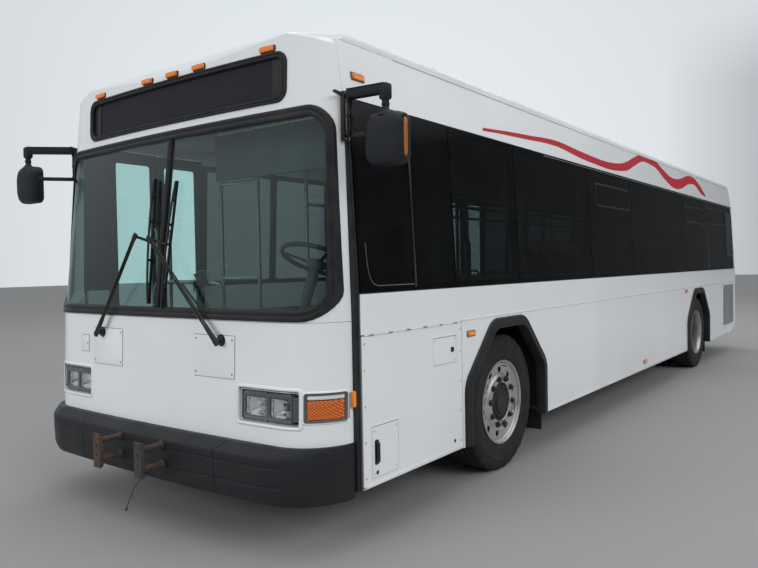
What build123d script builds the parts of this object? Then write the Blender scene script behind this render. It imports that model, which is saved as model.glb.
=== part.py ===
from build123d import *
import math
import os

# ---------------------------------------------------------------------------
# City bus, low floor, about 10.9 m long.  Millimetres.
# +X is forward, +Y is the driver's side (bus left), +Z is up, ground at Z = 0.
# The origin is under the middle of the bus, on the ground.
# ---------------------------------------------------------------------------

# --- main sizes -------------------------------------------------------------
AX_F = 3160.0            # X of the front axle
WHEELBASE = 5860.0
AX_R = AX_F - WHEELBASE  # X of the rear axle
ARCH_R = AX_F - 5800.0   # X of the rear wheel opening's middle
HALF_W = 1295.0          # half width of the body at the lower side
SKIRT_Z = 302.0          # bottom of the lower side panels
SEAM_Z = 1117.0          # seam between lower panels and belt panel
BELT_Z = 1331.0          # bottom of the window band
BAND_TOP_Z = 2350.0      # top of the window band
CANT_Z = 2655.0          # seam between cant panel and roof
CROWN_Z = 2872.0         # top of the roof
BAND_TOP_Y = 1245.0      # half width at the top of the window band
CANT_Y = 1200.0          # half width at the roof seam
WALL = 50.0              # body wall thickness
POST_X = AX_F + 1745.0   # rear edge of the front cap
REAR_X = AX_F - 8505.0   # rear face of the body
REAR_CAP = 170.0         # depth of the rear cap's side return
FRONT_IN = 25.0          # how far the front cap stands inside the side at its rear edge, below the windows
GAP = 5.0                # clearance round doors and lids
SEAM = 2.0               # visible gap between fixed panels

TYRE_R = 485.0
TYRE_W = 275.0
RIM_R = 289.0            # 22.5 in rim, seat radius
RIM_FLANGE_R = 300.0
FRONT_TRACK_Y = 1112.0   # middle plane of a front tyre
REAR_OUT_Y = 1125.0      # middle plane of an outer rear tyre
REAR_IN_Y = 795.0        # middle plane of an inner rear tyre
KINGPIN_Y = 930.0
STEER_DEG = 38.0

FLOOR_Z = 392.0          # top of the low floor
REAR_FLOOR_Z = 780.0     # top of the raised rear floor
STEP_X = AX_F - 4420.0   # step up to the raised floor

# front door and rear door openings, on the kerb side (Y < 0)
FDOOR = (AX_F + 660.0, AX_F + 1520.0)
RDOOR = (AX_F - 4330.0, AX_F - 3230.0)
DOOR_Z = (345.0, 2380.0)
DOOR_Y = 1250.0          # outer face of the door leaves
DOOR_T = 40.0

os.makedirs("parts", exist_ok=True)
PARTS = {}


# --- helpers ------------------------------------------------------------------
def bx(x0, x1, y0, y1, z0, z1):
    """Box from its lowest to its highest corner."""
    return Pos((x0 + x1) / 2, (y0 + y1) / 2, (z0 + z1) / 2) * Box(
        abs(x1 - x0), abs(y1 - y0), abs(z1 - z0))


def cyl_y(x, z, r, y0, y1):
    return Pos(x, (y0 + y1) / 2, z) * Rot(90, 0, 0) * Cylinder(r, abs(y1 - y0))


def cyl_x(y, z, r, x0, x1):
    return Pos((x0 + x1) / 2, y, z) * Rot(0, 90, 0) * Cylinder(r, abs(x1 - x0))


def cyl_z(x, y, r, z0, z1):
    return Pos(x, y, (z0 + z1) / 2) * Cylinder(r, abs(z1 - z0))


def bar(p, q, r):
    """Round bar from p to q."""
    p, q = Vector(*p), Vector(*q)
    d = q - p
    return Solid.make_cylinder(r, d.length, Plane(origin=p, z_dir=d))


def flat(p, q, w, t, up=(0, 0, 1)):
    """Rectangular bar from p to q, width w across up, thickness t along up."""
    p, q = Vector(*p), Vector(*q)
    d = q - p
    pl = Plane(origin=p, x_dir=Vector(*up).cross(d), z_dir=d)
    return extrude(pl * Rectangle(w, t), amount=d.length, dir=d.normalized())


def prism_yz(pts, x0, x1):
    """Prism with a section in Y and Z, from x0 to x1."""
    w = Polyline(*[(x0, y, z) for y, z in pts], close=True)
    return extrude(make_face(w), amount=x1 - x0, dir=(1, 0, 0))


def prism_xz(pts, y0, y1, r=None):
    """Prism with a section in X and Z, from y0 to y1, corners rounded by r."""
    p3 = [(x, y0, z) for x, z in pts]
    w = FilletPolyline(*p3, radius=r, close=True) if r else Polyline(*p3, close=True)
    return extrude(make_face(w), amount=y1 - y0, dir=(0, 1, 0))


def round_yz(y0, y1, z0, z1, r, x0, x1):
    """Rounded rectangle in Y and Z, from x0 to x1."""
    f = Plane(origin=(x0, (y0 + y1) / 2, (z0 + z1) / 2), x_dir=(0, 1, 0), z_dir=(1, 0, 0)) * \
        RectangleRounded(abs(y1 - y0), abs(z1 - z0), r)
    return extrude(f, amount=x1 - x0, dir=(1, 0, 0))


def round_xz(x0, x1, z0, z1, r, y0, y1):
    f = Plane(origin=((x0 + x1) / 2, y0, (z0 + z1) / 2), x_dir=(1, 0, 0), z_dir=(0, -1, 0)) * \
        RectangleRounded(abs(x1 - x0), abs(z1 - z0), r)
    return extrude(f, amount=y1 - y0, dir=(0, 1, 0))


def trap(yb, yt, z0, z1, r, x0, x1):
    """Symmetric trapezoid in Y and Z with rounded corners, from x0 to x1."""
    w = FilletPolyline((x0, -yb, z0), (x0, yb, z0), (x0, yt, z1), (x0, -yt, z1), radius=r, close=True)
    return extrude(make_face(w), amount=x1 - x0, dir=(1, 0, 0))


def flip(s):
    """The same solid on the other side of the bus."""
    return mirror(s, about=Plane.XZ)


def both(s):
    return [s, flip(s)]


def put(name, *shapes):
    """Keep the solids of one piece under its name."""
    out = []
    for s in shapes:
        for q in (s if isinstance(s, (list, tuple)) else [s]):
            out += list(q.solids())
    PARTS[name] = out


def y_side(z):
    """Half width of the body at height z."""
    if z <= BELT_Z:
        return HALF_W
    if z <= BAND_TOP_Z:
        return HALF_W + (BAND_TOP_Y - HALF_W) * (z - BELT_Z) / (BAND_TOP_Z - BELT_Z)
    return BAND_TOP_Y + (CANT_Y - BAND_TOP_Y) * (z - BAND_TOP_Z) / (CANT_Z - BAND_TOP_Z)


def strip(z0, z1, x0, x1, out=0.0, thick=WALL):
    """Piece of the left wall from z0 to z1; out moves its outer face outwards."""
    zs = [z0] + [z for z in (BELT_Z, BAND_TOP_Z) if z0 < z < z1] + [z1]
    o = [(y_side(z) + out, z) for z in zs]
    i = [(y_side(z) + out - thick, z) for z in reversed(zs)]
    return prism_yz(o + i, x0, x1)


# --- front cap: plan sections at a few heights ----------------------------------
# columns: height, X of the front at the middle, ahead of the front axle
FRONT = [
    (SKIRT_Z, 2045.0),
    (BELT_Z - 120.0, 2012.0),
    (BAND_TOP_Z, 1866.0),
    (CANT_Z, 1853.0),
    (CROWN_Z + 40.0, 1853.0),
]


def front_plan(z, xf):
    """Corner arc of the front at height z: radius, bow, middle of the arc in X and in Y."""
    t = min(max((z - 1211.0) / (BAND_TOP_Z - 1211.0), 0.0), 1.0)
    r = 300.0 - 50.0 * t
    bow = (0.025 + 0.010 * t) / 1000.0
    ys = y_side(min(z, CANT_Z)) - FRONT_IN + 21.0 * t
    yb = ys - r
    for _ in range(30):          # the arc leaves the bow smoothly and ends at the post
        xb = AX_F + xf - bow * yb * yb
        d = POST_X - xb + r
        yb = ys - math.sqrt(r * r - d * d)
    return r, bow, xb - r, yb


def front_section(z, xf, off):
    """Closed plan outline of the front at height z, moved outwards by off."""
    r, bow, cx, yb = front_plan(z, xf)
    r += off
    half = math.acos((POST_X - cx) / r) / 2
    ye = yb + r * math.sin(2 * half)
    m = (cx + r * math.cos(half), yb + r * math.sin(half))
    xb, xm, x0 = cx + r, AX_F + xf + off, POST_X
    e = [
        Line((x0 - 400, -ye, z), (x0, -ye, z)),
        ThreePointArc((x0, -ye, z), (m[0], -m[1], z), (xb, -yb, z)),
        ThreePointArc((xb, -yb, z), (xm, 0, z), (xb, yb, z)),
        ThreePointArc((xb, yb, z), (m[0], m[1], z), (x0, ye, z)),
        Line((x0, ye, z), (x0 - 400, ye, z)),
        Line((x0 - 400, ye, z), (x0 - 400, -ye, z)),
    ]
    return make_face(Wire(e))


def front_body(off=0.0):
    fs = [front_section(z, xf, off) for z, xf in FRONT]
    return loft(fs, ruled=True)


# roof crown, in Y and Z
def roof_body(off, x0, x1):
    zc, yc = CROWN_Z + off, CANT_Y + off
    pts = [(0, 0), (yc + 60, 0), (yc + 60, CANT_Z - 60), (yc, CANT_Z)]
    up = FilletPolyline((x0, yc, CANT_Z), (x0, yc - 12, 2710 + off), (x0, 800, 2815 + off),
                        (x0, 0, zc), radius=[60 if off > -30 else 12, 900])
    low = Polyline((x0, 0, zc), (x0, 0, 200), (x0, HALF_W + 80, 200),
                   (x0, HALF_W + 80, CANT_Z), (x0, yc, CANT_Z))
    half = extrude(make_face(Wire(list(up.edges()) + list(low.edges()))), amount=x1 - x0, dir=(1, 0, 0))
    return half + flip(half)


# front edge of the roof, in X and Z (ahead of the front axle)
def roof_nose(off):
    x = AX_F
    p = [(x + 1853 + off, CANT_Z - 40), (x + 1848 + off, 2712 + off), (x + 1620, 2805 + off),
         (x + 1230, 2866 + off), (x + 600, 2874 + off)]
    top = FilletPolyline(*[(a, -1500, b) for a, b in p], radius=[95 if off > -30 else 40, 350, 600])
    rest = Polyline((x + 600, -1500, 2874 + off), (x + 600, -1500, 200), (x + 2300, -1500, 200),
                    (x + 2300, -1500, CANT_Z - 40), (x + 1853 + off, -1500, CANT_Z - 40))
    return extrude(make_face(Wire(list(top.edges()) + list(rest.edges()))), amount=3000, dir=(0, 1, 0))


def dome_cut(off):
    """What the rounded top corners of the front leave out: a profile drawn on the diagonal, on both sides."""
    a, b = off * 0.5, off
    pts = [(1000 + a, 2925 + b), (1600 + a, 2830 + b), (1900 + a, 2737 + b), (2078 + a, 2652 + b), (2112 + a, 2550 + b)]
    line = FilletPolyline(*[(u, v, 0) for u, v in pts], radius=[600, 400, 110])
    rest = Polyline((2112 + a, 2550 + b, 0), (2700, 2550 + b, 0), (2700, 3300, 0), (1000 + a, 3300, 0), (1000 + a, 2925 + b, 0))
    face = make_face(Wire(list(line.edges()) + list(rest.edges())))
    out = None
    for sgn in (1, -1):
        c = math.sqrt(0.5)
        pl = Plane(origin=(AX_F, 0, 0), x_dir=(c, sgn * c, 0), z_dir=(sgn * c, -c, 0))
        q = extrude(pl * face, amount=1700, both=True)
        out = q if out is None else out + q
    return out


outer = front_body(0.0) & roof_body(0.0, AX_F + 700, AX_F + 2300) & roof_nose(0.0)
outer -= dome_cut(0.0)
inner = front_body(-WALL) & roof_body(-WALL, AX_F + 700, AX_F + 2300) & roof_nose(-WALL)
inner -= dome_cut(-WALL)
cap = (outer - inner) & bx(POST_X, POST_X + 800, -1500, 1500, 0, 3000)

WS_Z0, WS_Z1 = 1185.0 + 12, 2318.0        # outer edge of the windshield seal
WS_Y, WS_YT = 1262.0, 1214.0               # its half width at the bottom and the top
CAP_SPLIT = 1192.0                         # joint between lower and upper cap
SIGN_Y, SIGN_Z0, SIGN_Z1 = 931.0, 2356.0, 2634.0



def ws_shape(side, bottom, top, r):
    """Windshield outline, drawn in from the seal's outer edge."""
    return trap(WS_Y - side, WS_YT - side, WS_Z0 + bottom, WS_Z1 - top, r, AX_F + 1600, AX_F + 2200)


opening = ws_shape(30, 30, 28, 120)
sign_cut = round_yz(-SIGN_Y + 14, SIGN_Y - 14, SIGN_Z0 + 14, SIGN_Z1 - 14, 60, AX_F + 1720, AX_F + 2200)

HEAD = (704.0, 1108.0, 664.0, 848.0)       # headlamp recess: y0, y1, z0, z1
TURN = (1122.0, 1266.0, 690.0, 836.0)      # corner lamp: y0, y1, z0, z1

cap_low = cap & bx(AX_F, AX_F + 3000, -1500, 1500, 330, CAP_SPLIT)
for sgn in (1, -1):
    y0, y1, z0, z1 = HEAD
    cap_low -= round_yz(min(sgn * y0, sgn * y1), max(sgn * y0, sgn * y1), z0, z1, 12, AX_F + 1700, AX_F + 2200)
    y0, y1, z0, z1 = TURN
    cap_low -= round_yz(min(sgn * y0, sgn * y1), max(sgn * y0, sgn * y1), z0, z1, 12, AX_F + 1757, AX_F + 2200)
# wiper pivots
for y in (-569.0, 569.0):
    cap_low -= cyl_x(y, 1086, 14, AX_F + 1700, AX_F + 2200)
put("front_cap_lower", cap_low)

cap_up = (cap & bx(AX_F, AX_F + 3000, -1500, 1500, CAP_SPLIT + SEAM, 3000)) - opening - sign_cut
# the top of the cap runs back over the driver's place to the roof panel
put("front_cap_upper", cap_up)

# --- windshield: seal, centre bar and two panes -----------------------------------
ring = ws_shape(0, 0, 0, 150) - ws_shape(42, 62, 60, 110)
band = front_body(14.0) - front_body(0.6)
lip = front_body(0.6) - front_body(-24.0)
seal = (band & ring) + ((lip & ring) & ws_shape(30.6, 30.6, 28.6, 119.4))
seal &= bx(POST_X + 4, POST_X + 700, -1500, 1500, 1000, 2400)
centre = (front_body(13.0) - front_body(-24.0)) & bx(POST_X, POST_X + 700, -16, 16, WS_Z0 + 62.5, WS_Z1 - 60.5)
CORNER_POST = [p for p in both(strip(SKIRT_Z + 6, 2330, POST_X - 42, POST_X - 1.0, out=-3.0, thick=30.0))]
put("windshield_seal", seal, centre, CORNER_POST)

glass = (front_body(-4.0) - front_body(-12.0)) & ws_shape(42.5, 62.5, 60.5, 109.5)
put("windshield", [glass & bx(POST_X, POST_X + 700, 16.5, 1500, 1000, 2400),
                   glass & bx(POST_X, POST_X + 700, -1500, -16.5, 1000, 2400)])

# --- destination sign: black frame with a blank dark panel ---------------------------
frame_o = round_yz(-SIGN_Y, SIGN_Y, SIGN_Z0, SIGN_Z1, 70, AX_F + 1725, AX_F + 2200)
frame_i = round_yz(-SIGN_Y + 34, SIGN_Y - 34, SIGN_Z0 + 34, SIGN_Z1 - 34, 45, AX_F + 1600, AX_F + 2200)
sign_frame = ((front_body(12.0) - front_body(0.6)) & (frame_o - frame_i)) + \
    (((front_body(0.6) - front_body(-30.0)) & (frame_o - frame_i)) &
     round_yz(-SIGN_Y + 14.6, SIGN_Y - 14.6, SIGN_Z0 + 14.6, SIGN_Z1 - 14.6, 59, AX_F + 1600, AX_F + 2200))
sign_box = (front_body(-14.0) - front_body(-30.0)) & \
    round_yz(-SIGN_Y + 33, SIGN_Y - 33, SIGN_Z0 + 33, SIGN_Z1 - 33, 46, AX_F + 1600, AX_F + 2200)
put("destination_sign", sign_frame + sign_box)

# --- lower side panels -------------------------------------------------------------
# wheel opening outline: half length at the bottom, knee height, top half length, top height
ARCH = (600.0, 704.0, 238.0, 1066.0)
TRIM_OUT = (639.0, 716.0, 254.0, 1103.0)
TRIM_IN = (566.0, 692.0, 224.0, 1030.0)


def arch_shape(c, a, y0, y1, zb=0.0):
    h, zk, t, zt = a
    pts = [(c - h, zb), (c - h, zk), (c - t, zt), (c + t, zt), (c + h, zk), (c + h, zb)]
    return prism_xz(pts, y0, y1)


# columns: rear end, front end (ahead of the front axle), wheel opening middle or None
LEFT_LOW = [
    (-649.0, 664.0, AX_F),
    (-4909.0, -651.0, None),
    (-8333.0, -4911.0, ARCH_R),
]
RIGHT_LOW = [
    (-649.0, 655.0, AX_F),
    (-3225.0, -651.0, None),
    (-4909.0, -4335.0, None),
    (-8333.0, -4911.0, ARCH_R),
    (1525.0, 1701.0, None),
]
kick = prism_xz([(AX_F - 7810, 200), (AX_F - 7810, 292), (AX_F - 8600, 401), (AX_F - 8600, 200)], -1500, 1500)
GRILLE = (AX_F - 8315.0, AX_F - 7410.0, 430.0, 1094.0)
low = []
for rows, side in ((LEFT_LOW, 1), (RIGHT_LOW, -1)):
    for xa, xb, arch in rows:
        s = strip(SKIRT_Z, SEAM_Z - SEAM, AX_F + xa, AX_F + xb)
        if arch is not None:
            s -= arch_shape(arch, ARCH, 1000, 1500)
        s -= kick
        if side == 1 and xa < -8000:
            s -= bx(GRILLE[0], GRILLE[1], 1265, 1400, GRILLE[2], GRILLE[3])
        low.append(s if side == 1 else flip(s))
put("side_panels", low)

# --- belt panels and cant panels ------------------------------------------------------
X_BACK = REAR_X + REAR_CAP + SEAM
X_FRONT = POST_X - 43.0
belt_l = strip(SEAM_Z, BELT_Z - 1, X_BACK, X_FRONT)
belt_r = [flip(strip(SEAM_Z, BELT_Z - 1, a, b)) for a, b in (
    (X_BACK, RDOOR[0] - GAP), (RDOOR[1] + GAP, FDOOR[0] - GAP), (FDOOR[1] + GAP, X_FRONT))]
cant_l = strip(BAND_TOP_Z + 1, CANT_Z - 1, X_BACK, POST_X - 0.5)
cant_r = flip(cant_l) - bx(FDOOR[0] - GAP, FDOOR[1] + GAP, -1400, -1100, 2300, DOOR_Z[1] + GAP) \
    - bx(RDOOR[0] - GAP, RDOOR[1] + GAP, -1400, -1100, 2300, DOOR_Z[1] + GAP)
put("upper_panels", belt_l, belt_r, cant_l, cant_r)

# --- window band: black frames behind the panes ------------------------------------------
# X of each division between panes, ahead of the front axle
LEFT_DIV = [1701.0, 1161.0, 724.0, -197.0, -1711.0, -2945.0, -5130.0, -7753.0, -8330.0]
RIGHT_DIV = [1701.0, 1525.0]
RIGHT_DIV_B = [655.0, -197.0, -1711.0, -3225.0]
RIGHT_DIV_C = [-4335.0, -5130.0, -6440.0, -7753.0, -8330.0]
PILLAR = 46.0
PANE_T = 6.0


def band_frame(div):
    x0, x1 = AX_F + div[-1], AX_F + div[0]
    s = strip(BELT_Z, BAND_TOP_Z, x0, x1, out=-PANE_T - 2, thick=WALL - PANE_T - 2)
    for b, a in zip(div[:-1], div[1:]):
        if b - a > 200:
            pa = PILLAR if a == div[-1] else PILLAR / 2
            pb = PILLAR if b == div[0] else PILLAR / 2
            s -= round_xz(AX_F + a + pa, AX_F + b - pb, BELT_Z + 40, BAND_TOP_Z - 40, 30, 1000, 1500)
    return s


def band_panes(div):
    out = []
    for b, a in zip(div[:-1], div[1:]):
        out.append(strip(BELT_Z + 6, BAND_TOP_Z - 6, AX_F + a + 4, AX_F + b - 4, out=-1.0, thick=PANE_T))
    return out


put("window_frame_left", band_frame(LEFT_DIV))
put("window_frame_right", [flip(band_frame(d)) for d in (RIGHT_DIV, RIGHT_DIV_B, RIGHT_DIV_C)])
put("side_windows", band_panes(LEFT_DIV),
    [flip(p) for d in (RIGHT_DIV, RIGHT_DIV_B, RIGHT_DIV_C) for p in band_panes(d)])

# --- roof --------------------------------------------------------------------------------
HATCH = [("roof_hatch_front", AX_F - 1500.0), ("roof_hatch_rear", AX_F - 6200.0)]
HATCH_L, HATCH_W = 640.0, 640.0
roof_o = roof_body(0.0, X_BACK, POST_X - 0.5)
roof_i = roof_body(-WALL, X_BACK - 10, POST_X + 10) & (
    roof_nose(-WALL) + bx(X_BACK - 20, AX_F + 600.5, -1500, 1500, 200, 3100))
roof_i -= dome_cut(-WALL)
roof = (roof_o - roof_i) & bx(X_BACK, POST_X - 0.5, -1400, 1400, CANT_Z + 1, 3000)
roof &= (roof_nose(0.0) + bx(X_BACK - 20, AX_F + 600.5, -1500, 1500, 200, 3100))
roof -= dome_cut(0.0)
for n, hx in HATCH:
    roof -= bx(hx - HATCH_L / 2 - GAP, hx + HATCH_L / 2 + GAP, -HATCH_W / 2 - GAP, HATCH_W / 2 + GAP, 2700, 3000)
put("roof", roof)
for n, hx in HATCH:
    lid = bx(hx - HATCH_L / 2, hx + HATCH_L / 2, -HATCH_W / 2, HATCH_W / 2, 2836, 2902)
    lid = fillet(lid.edges().filter_by(Axis.Z), 60)
    lid = chamfer(lid.faces().sort_by(Axis.Z)[-1].edges(), 14)
    for y in (-200.0, 200.0):
        lid += bx(hx + 306, hx + HATCH_L / 2 + 6, y - 40, y + 40, 2889, 2895)
        lid += cyl_y(hx + HATCH_L / 2 + 6, 2895, 6, y - 40, y + 40)
    put(n, lid)

# --- rear cap ------------------------------------------------------------------------------
def rear_section(z, xr, off):
    ys = y_side(min(z, CANT_Z)) + off
    r = 90.0
    xr = xr - off
    c = (xr + r, ys - r)
    m = (c[0] - r * math.cos(math.pi / 4), c[1] + r * math.sin(math.pi / 4))
    e = [
        Line((xr + 600, ys, z), (xr + r, ys, z)),
        ThreePointArc((xr + r, ys, z), (m[0], m[1], z), (xr, ys - r, z)),
        Line((xr, ys - r, z), (xr, -ys + r, z)),
        ThreePointArc((xr, -ys + r, z), (m[0], -m[1], z), (xr + r, -ys, z)),
        Line((xr + r, -ys, z), (xr + 600, -ys, z)),
        Line((xr + 600, -ys, z), (xr + 600, ys, z)),
    ]
    return make_face(Wire(e))


REAR = [(388.0, REAR_X), (BELT_Z, REAR_X), (BAND_TOP_Z, REAR_X + 40), (CANT_Z, REAR_X + 60), (CROWN_Z + 40, REAR_X + 60)]


def rear_body(off):
    return loft([rear_section(z, xr, off) for z, xr in REAR], ruled=True) & \
        roof_body(off, REAR_X - 50, REAR_X + 700)


ENG_Y, ENG_Z0, ENG_Z1 = 1010.0, 690.0, 1480.0
rear = (rear_body(0.0) - rear_body(-WALL)) & bx(REAR_X - 60, REAR_X + REAR_CAP, -1500, 1500, 395, 3000)
rear -= bx(REAR_X - 60, REAR_X + 80, -ENG_Y - GAP, ENG_Y + GAP, ENG_Z0 - GAP, ENG_Z1 + GAP)
# columns: |y|, z, half width, half height of the lamps in the rear cap
TAIL = [(1160.0, 1000.0, 52.0, 52.0), (1160.0, 1120.0, 52.0, 52.0), (1160.0, 1240.0, 52.0, 52.0), (1120.0, 2560.0, 60.0, 30.0)]
for y, z, hw, hh in TAIL:
    for t in both(cyl_x(y, z, hw - 2, REAR_X - 60, REAR_X + 40) if hw == hh else
                  bx(REAR_X - 60, REAR_X + 110, y - hw - 2, y + hw + 2, z - hh - 2, z + hh + 2)):
        rear -= t
rear = rear.solids().sort_by(SortBy.VOLUME)[-1]
put("rear_cap", rear)
tail = []
for y, z, hw, hh in TAIL:
    face_x = REAR_X if z < BELT_Z else REAR_X + 58
    t = Pos(face_x - 14, y, z) * Rot(0, 90, 0) * Cylinder(hw - 4, 26) if hw == hh else \
        bx(face_x - 24, face_x - 1, y - hw, y + hw, z - hh, z + hh)
    tail += both(t)
put("tail_lamps", tail)

eng = bx(REAR_X, REAR_X + 38, -ENG_Y, ENG_Y, ENG_Z0, ENG_Z1)
eng += cyl_y(REAR_X - 2, ENG_Z1 + 1.5, 3.0, -900, 900)      # hinge barrel
put("engine_door", eng)

rb = prism_xz([(REAR_X - 112, 420), (REAR_X - 112, 640), (REAR_X - 80, 672), (REAR_X - 1, 672), (REAR_X - 1, 400),
               (REAR_X - 90, 400)], -1250, 1250)
rb = fillet(rb.edges().filter_by(Axis.Z), 40)
put("rear_bumper", rb)

# --- front bumper ----------------------------------------------------------------------------
BUMP_Z0, BUMP_Z1 = 272.0, 566.0


def bumper_section(z, xf, ye, off=0.0):
    ys = ye + off
    xf = AX_F + xf + off
    x0 = POST_X - 4.0
    r = 250.0
    for _ in range(20):
        yb = ys - r
        r = xf - 0.030 * yb * yb / 1000.0 - x0
    yb = ys - r
    xb = xf - 0.030 * yb * yb / 1000.0
    c = (xb - r, yb)
    m = (c[0] + r * math.cos(math.pi / 4), c[1] + r * math.sin(math.pi / 4))
    e = [
        ThreePointArc((x0, -ys, z), (m[0], -m[1], z), (xb, -yb, z)),
        ThreePointArc((xb, -yb, z), (xf, 0, z), (xb, yb, z)),
        ThreePointArc((xb, yb, z), (m[0], m[1], z), (x0, ys, z)),
        Line((x0, ys, z), (x0, -ys, z)),
    ]
    return make_face(Wire(e))


# columns: height, X of the front at the middle, half width at the back
BUMP = [(BUMP_Z0, 2105.0, 1268.0), (330.0, 2142.0, 1277.0), (520.0, 2150.0, 1279.0), (BUMP_Z1, 2078.0, 1277.0)]
bump = loft([bumper_section(z, xf, ye) for z, xf, ye in BUMP], ruled=True)
hollow = front_body(1.5) & bx(AX_F, AX_F + 3000, -1500, 1500, 325, 3000)
under = loft([bumper_section(z, xf, ye, -60.0) for z, xf, ye in ((BUMP_Z0 - 40, 2120.0, 1290.0), (330.0, 2120.0, 1290.0))], ruled=True)
bump = bump - hollow - under
bump = bump & bx(POST_X + 1, POST_X + 800, -1500, 1500, 0, 3000)
bump = bump.solids().sort_by(SortBy.VOLUME)[-1]
# loose wire that hangs from a grommet on the bumper's lower edge; columns: y, z of its route
WIRE_X, WIRE_R = 5285.0, 2.5
WIRE = [(-6.0, 282.0), (-30.0, 254.0), (-62.0, 226.0), (-97.0, 198.0), (-118.0, 165.0), (-138.0, 128.0),
        (-160.0, 92.0), (-178.0, 60.0)]
d0 = Vector(0, WIRE[0][0] - WIRE[1][0], WIRE[0][1] - WIRE[1][1]).normalized()
w0 = Vector(WIRE_X, *WIRE[0])
bump += Solid.make_cylinder(8, 34, Plane(origin=w0, z_dir=d0)) - Solid.make_cylinder(12, 60, Plane(origin=w0 + d0 * 34, z_dir=d0))
put("front_bumper", bump.solids().sort_by(SortBy.VOLUME)[-1])
radii = []
for p, q, r in zip(WIRE[:-2], WIRE[1:-1], WIRE[2:]):
    a1 = math.atan2(q[1] - p[1], q[0] - p[0])
    a2 = math.atan2(r[1] - q[1], r[0] - q[0])
    turn = abs((a2 - a1 + math.pi) % (2 * math.pi) - math.pi)
    radii.append(0.45 * min(math.dist(p, q), math.dist(q, r)) / math.tan(turn / 2))
run = FilletPolyline(*[(WIRE_X, y, z) for y, z in WIRE], radius=radii)
put("hanging_wire", sweep(Plane(origin=run @ 0, z_dir=run % 0) * Circle(WIRE_R), path=run))
w1 = Vector(WIRE_X, *WIRE[-1])
d1 = Vector(0, WIRE[-1][0] - WIRE[-2][0], WIRE[-1][1] - WIRE[-2][1]).normalized()
put("wire_connector", Solid.make_cylinder(6, 26, Plane(origin=w1, z_dir=d1)))

# bracket plates for a carrier, each on two round arms
RACK_Y, RACK_X = 200.0, AX_F + 2300.0
rack = []
for y in (-RACK_Y, RACK_Y):
    s = bx(RACK_X - 10, RACK_X, y - 32, y + 32, 337, 535)
    for z in (492.0, 382.0):
        s += cyl_x(y, z, 17, AX_F + 2147, RACK_X - 5)
    rack.append(s)
rack = [s - bump for s in rack]
RACK_HOLES = (410.0, 464.0)                # heights of the two bolt holes in each plate
for z in RACK_HOLES:
    rack = [s - cyl_x(y, z, 6.5, RACK_X - 12, RACK_X + 2) for s, y in zip(rack, (-RACK_Y, RACK_Y))]
put("rack_brackets", [s.solids().sort_by(SortBy.VOLUME)[-1] for s in rack])

# --- lamps on the front --------------------------------------------------------------------------
head = []
for sgn in (1, -1):
    y0, y1, z0, z1 = HEAD
    a, b = sorted((sgn * (y0 + 3), sgn * (y1 - 3)))
    pl = (front_body(-22.0) - front_body(-46.0)) & round_yz(a, b, z0 + 3, z1 - 3, 11, AX_F + 1700, AX_F + 2200)
    for yy in (sgn * (y0 + 122), sgn * (y0 + 282)):
        pl += (front_body(-8.0) - front_body(-40.0)) & round_yz(yy - 66, yy + 66, z0 + 42, z1 - 38, 10, AX_F + 1700, AX_F + 2200)
    head.append(pl)
put("headlights", head)

amber = []
for sgn in (1, -1):
    y0, y1, z0, z1 = TURN
    a, b = sorted((sgn * (y0 + 3), sgn * (y1 - 3)))
    amber.append((front_body(-2.0) - front_body(-34.0)) & round_yz(a, b, z0 + 3, z1 - 3, 10, AX_F + 1760, AX_F + 2200))
# clearance lamps: y, z
for y, z in ((-795, 2690), (-247, 2690), (0, 2690), (247, 2690), (795, 2690)):
    amber.append((front_body(22.0) - front_body(0.5)) & bx(AX_F + 1700, AX_F + 2200, y - 48, y + 48, z - 50, z - 20))
# side marker lamps, ahead of the front axle
# columns: x on the left, x on the right, z, half length, half height
for xl, xr, z, hl, hh in ((547, 547, 1027, 50, 16), (-3280, -2900, 386, 50, 16), (-5112, -5112, 1080, 42, 16)):
    amber.append(strip(z - hh, z + hh, AX_F + xl - hl, AX_F + xl + hl, out=16.0, thick=15.0))
    amber.append(flip(strip(z - hh, z + hh, AX_F + xr - hl, AX_F + xr + hl, out=16.0, thick=15.0)))
m = strip(2476 - 18, 2476 + 18, AX_F + 1606 - 52, AX_F + 1606 + 52, out=16.0, thick=15.0)
amber += both(m)
put("amber_lamps", amber)

# --- mirrors ------------------------------------------------------------------------------------------
mir = []
for sgn, hx in ((1, 1730.0), (-1, 1985.0)):
    x = AX_F + hx
    base = AX_F + 1750.0
    s = bx(base - 22, base + 22, 1252, 1300, 2110, 2372)
    s -= front_body(15.0)
    s = s.solids().sort_by(SortBy.VOLUME)[-1]
    arm = flat((base, 1278, 2352), (x, 1520, 2352), 46, 40)
    drop = cyl_z(x, 1500, 21, 2225, 2352)
    hd = bx(x - 52, x + 52, 1385, 1615, 1972, 2232)
    hd = fillet(hd.edges(), 36)
    strip_l = bx(x - 20, x + 20, 1600, 1625, 2010, 2195)
    s = s + arm + drop + hd + strip_l
    mir.append(s if sgn == 1 else flip(s))
put("mirrors", mir)

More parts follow.
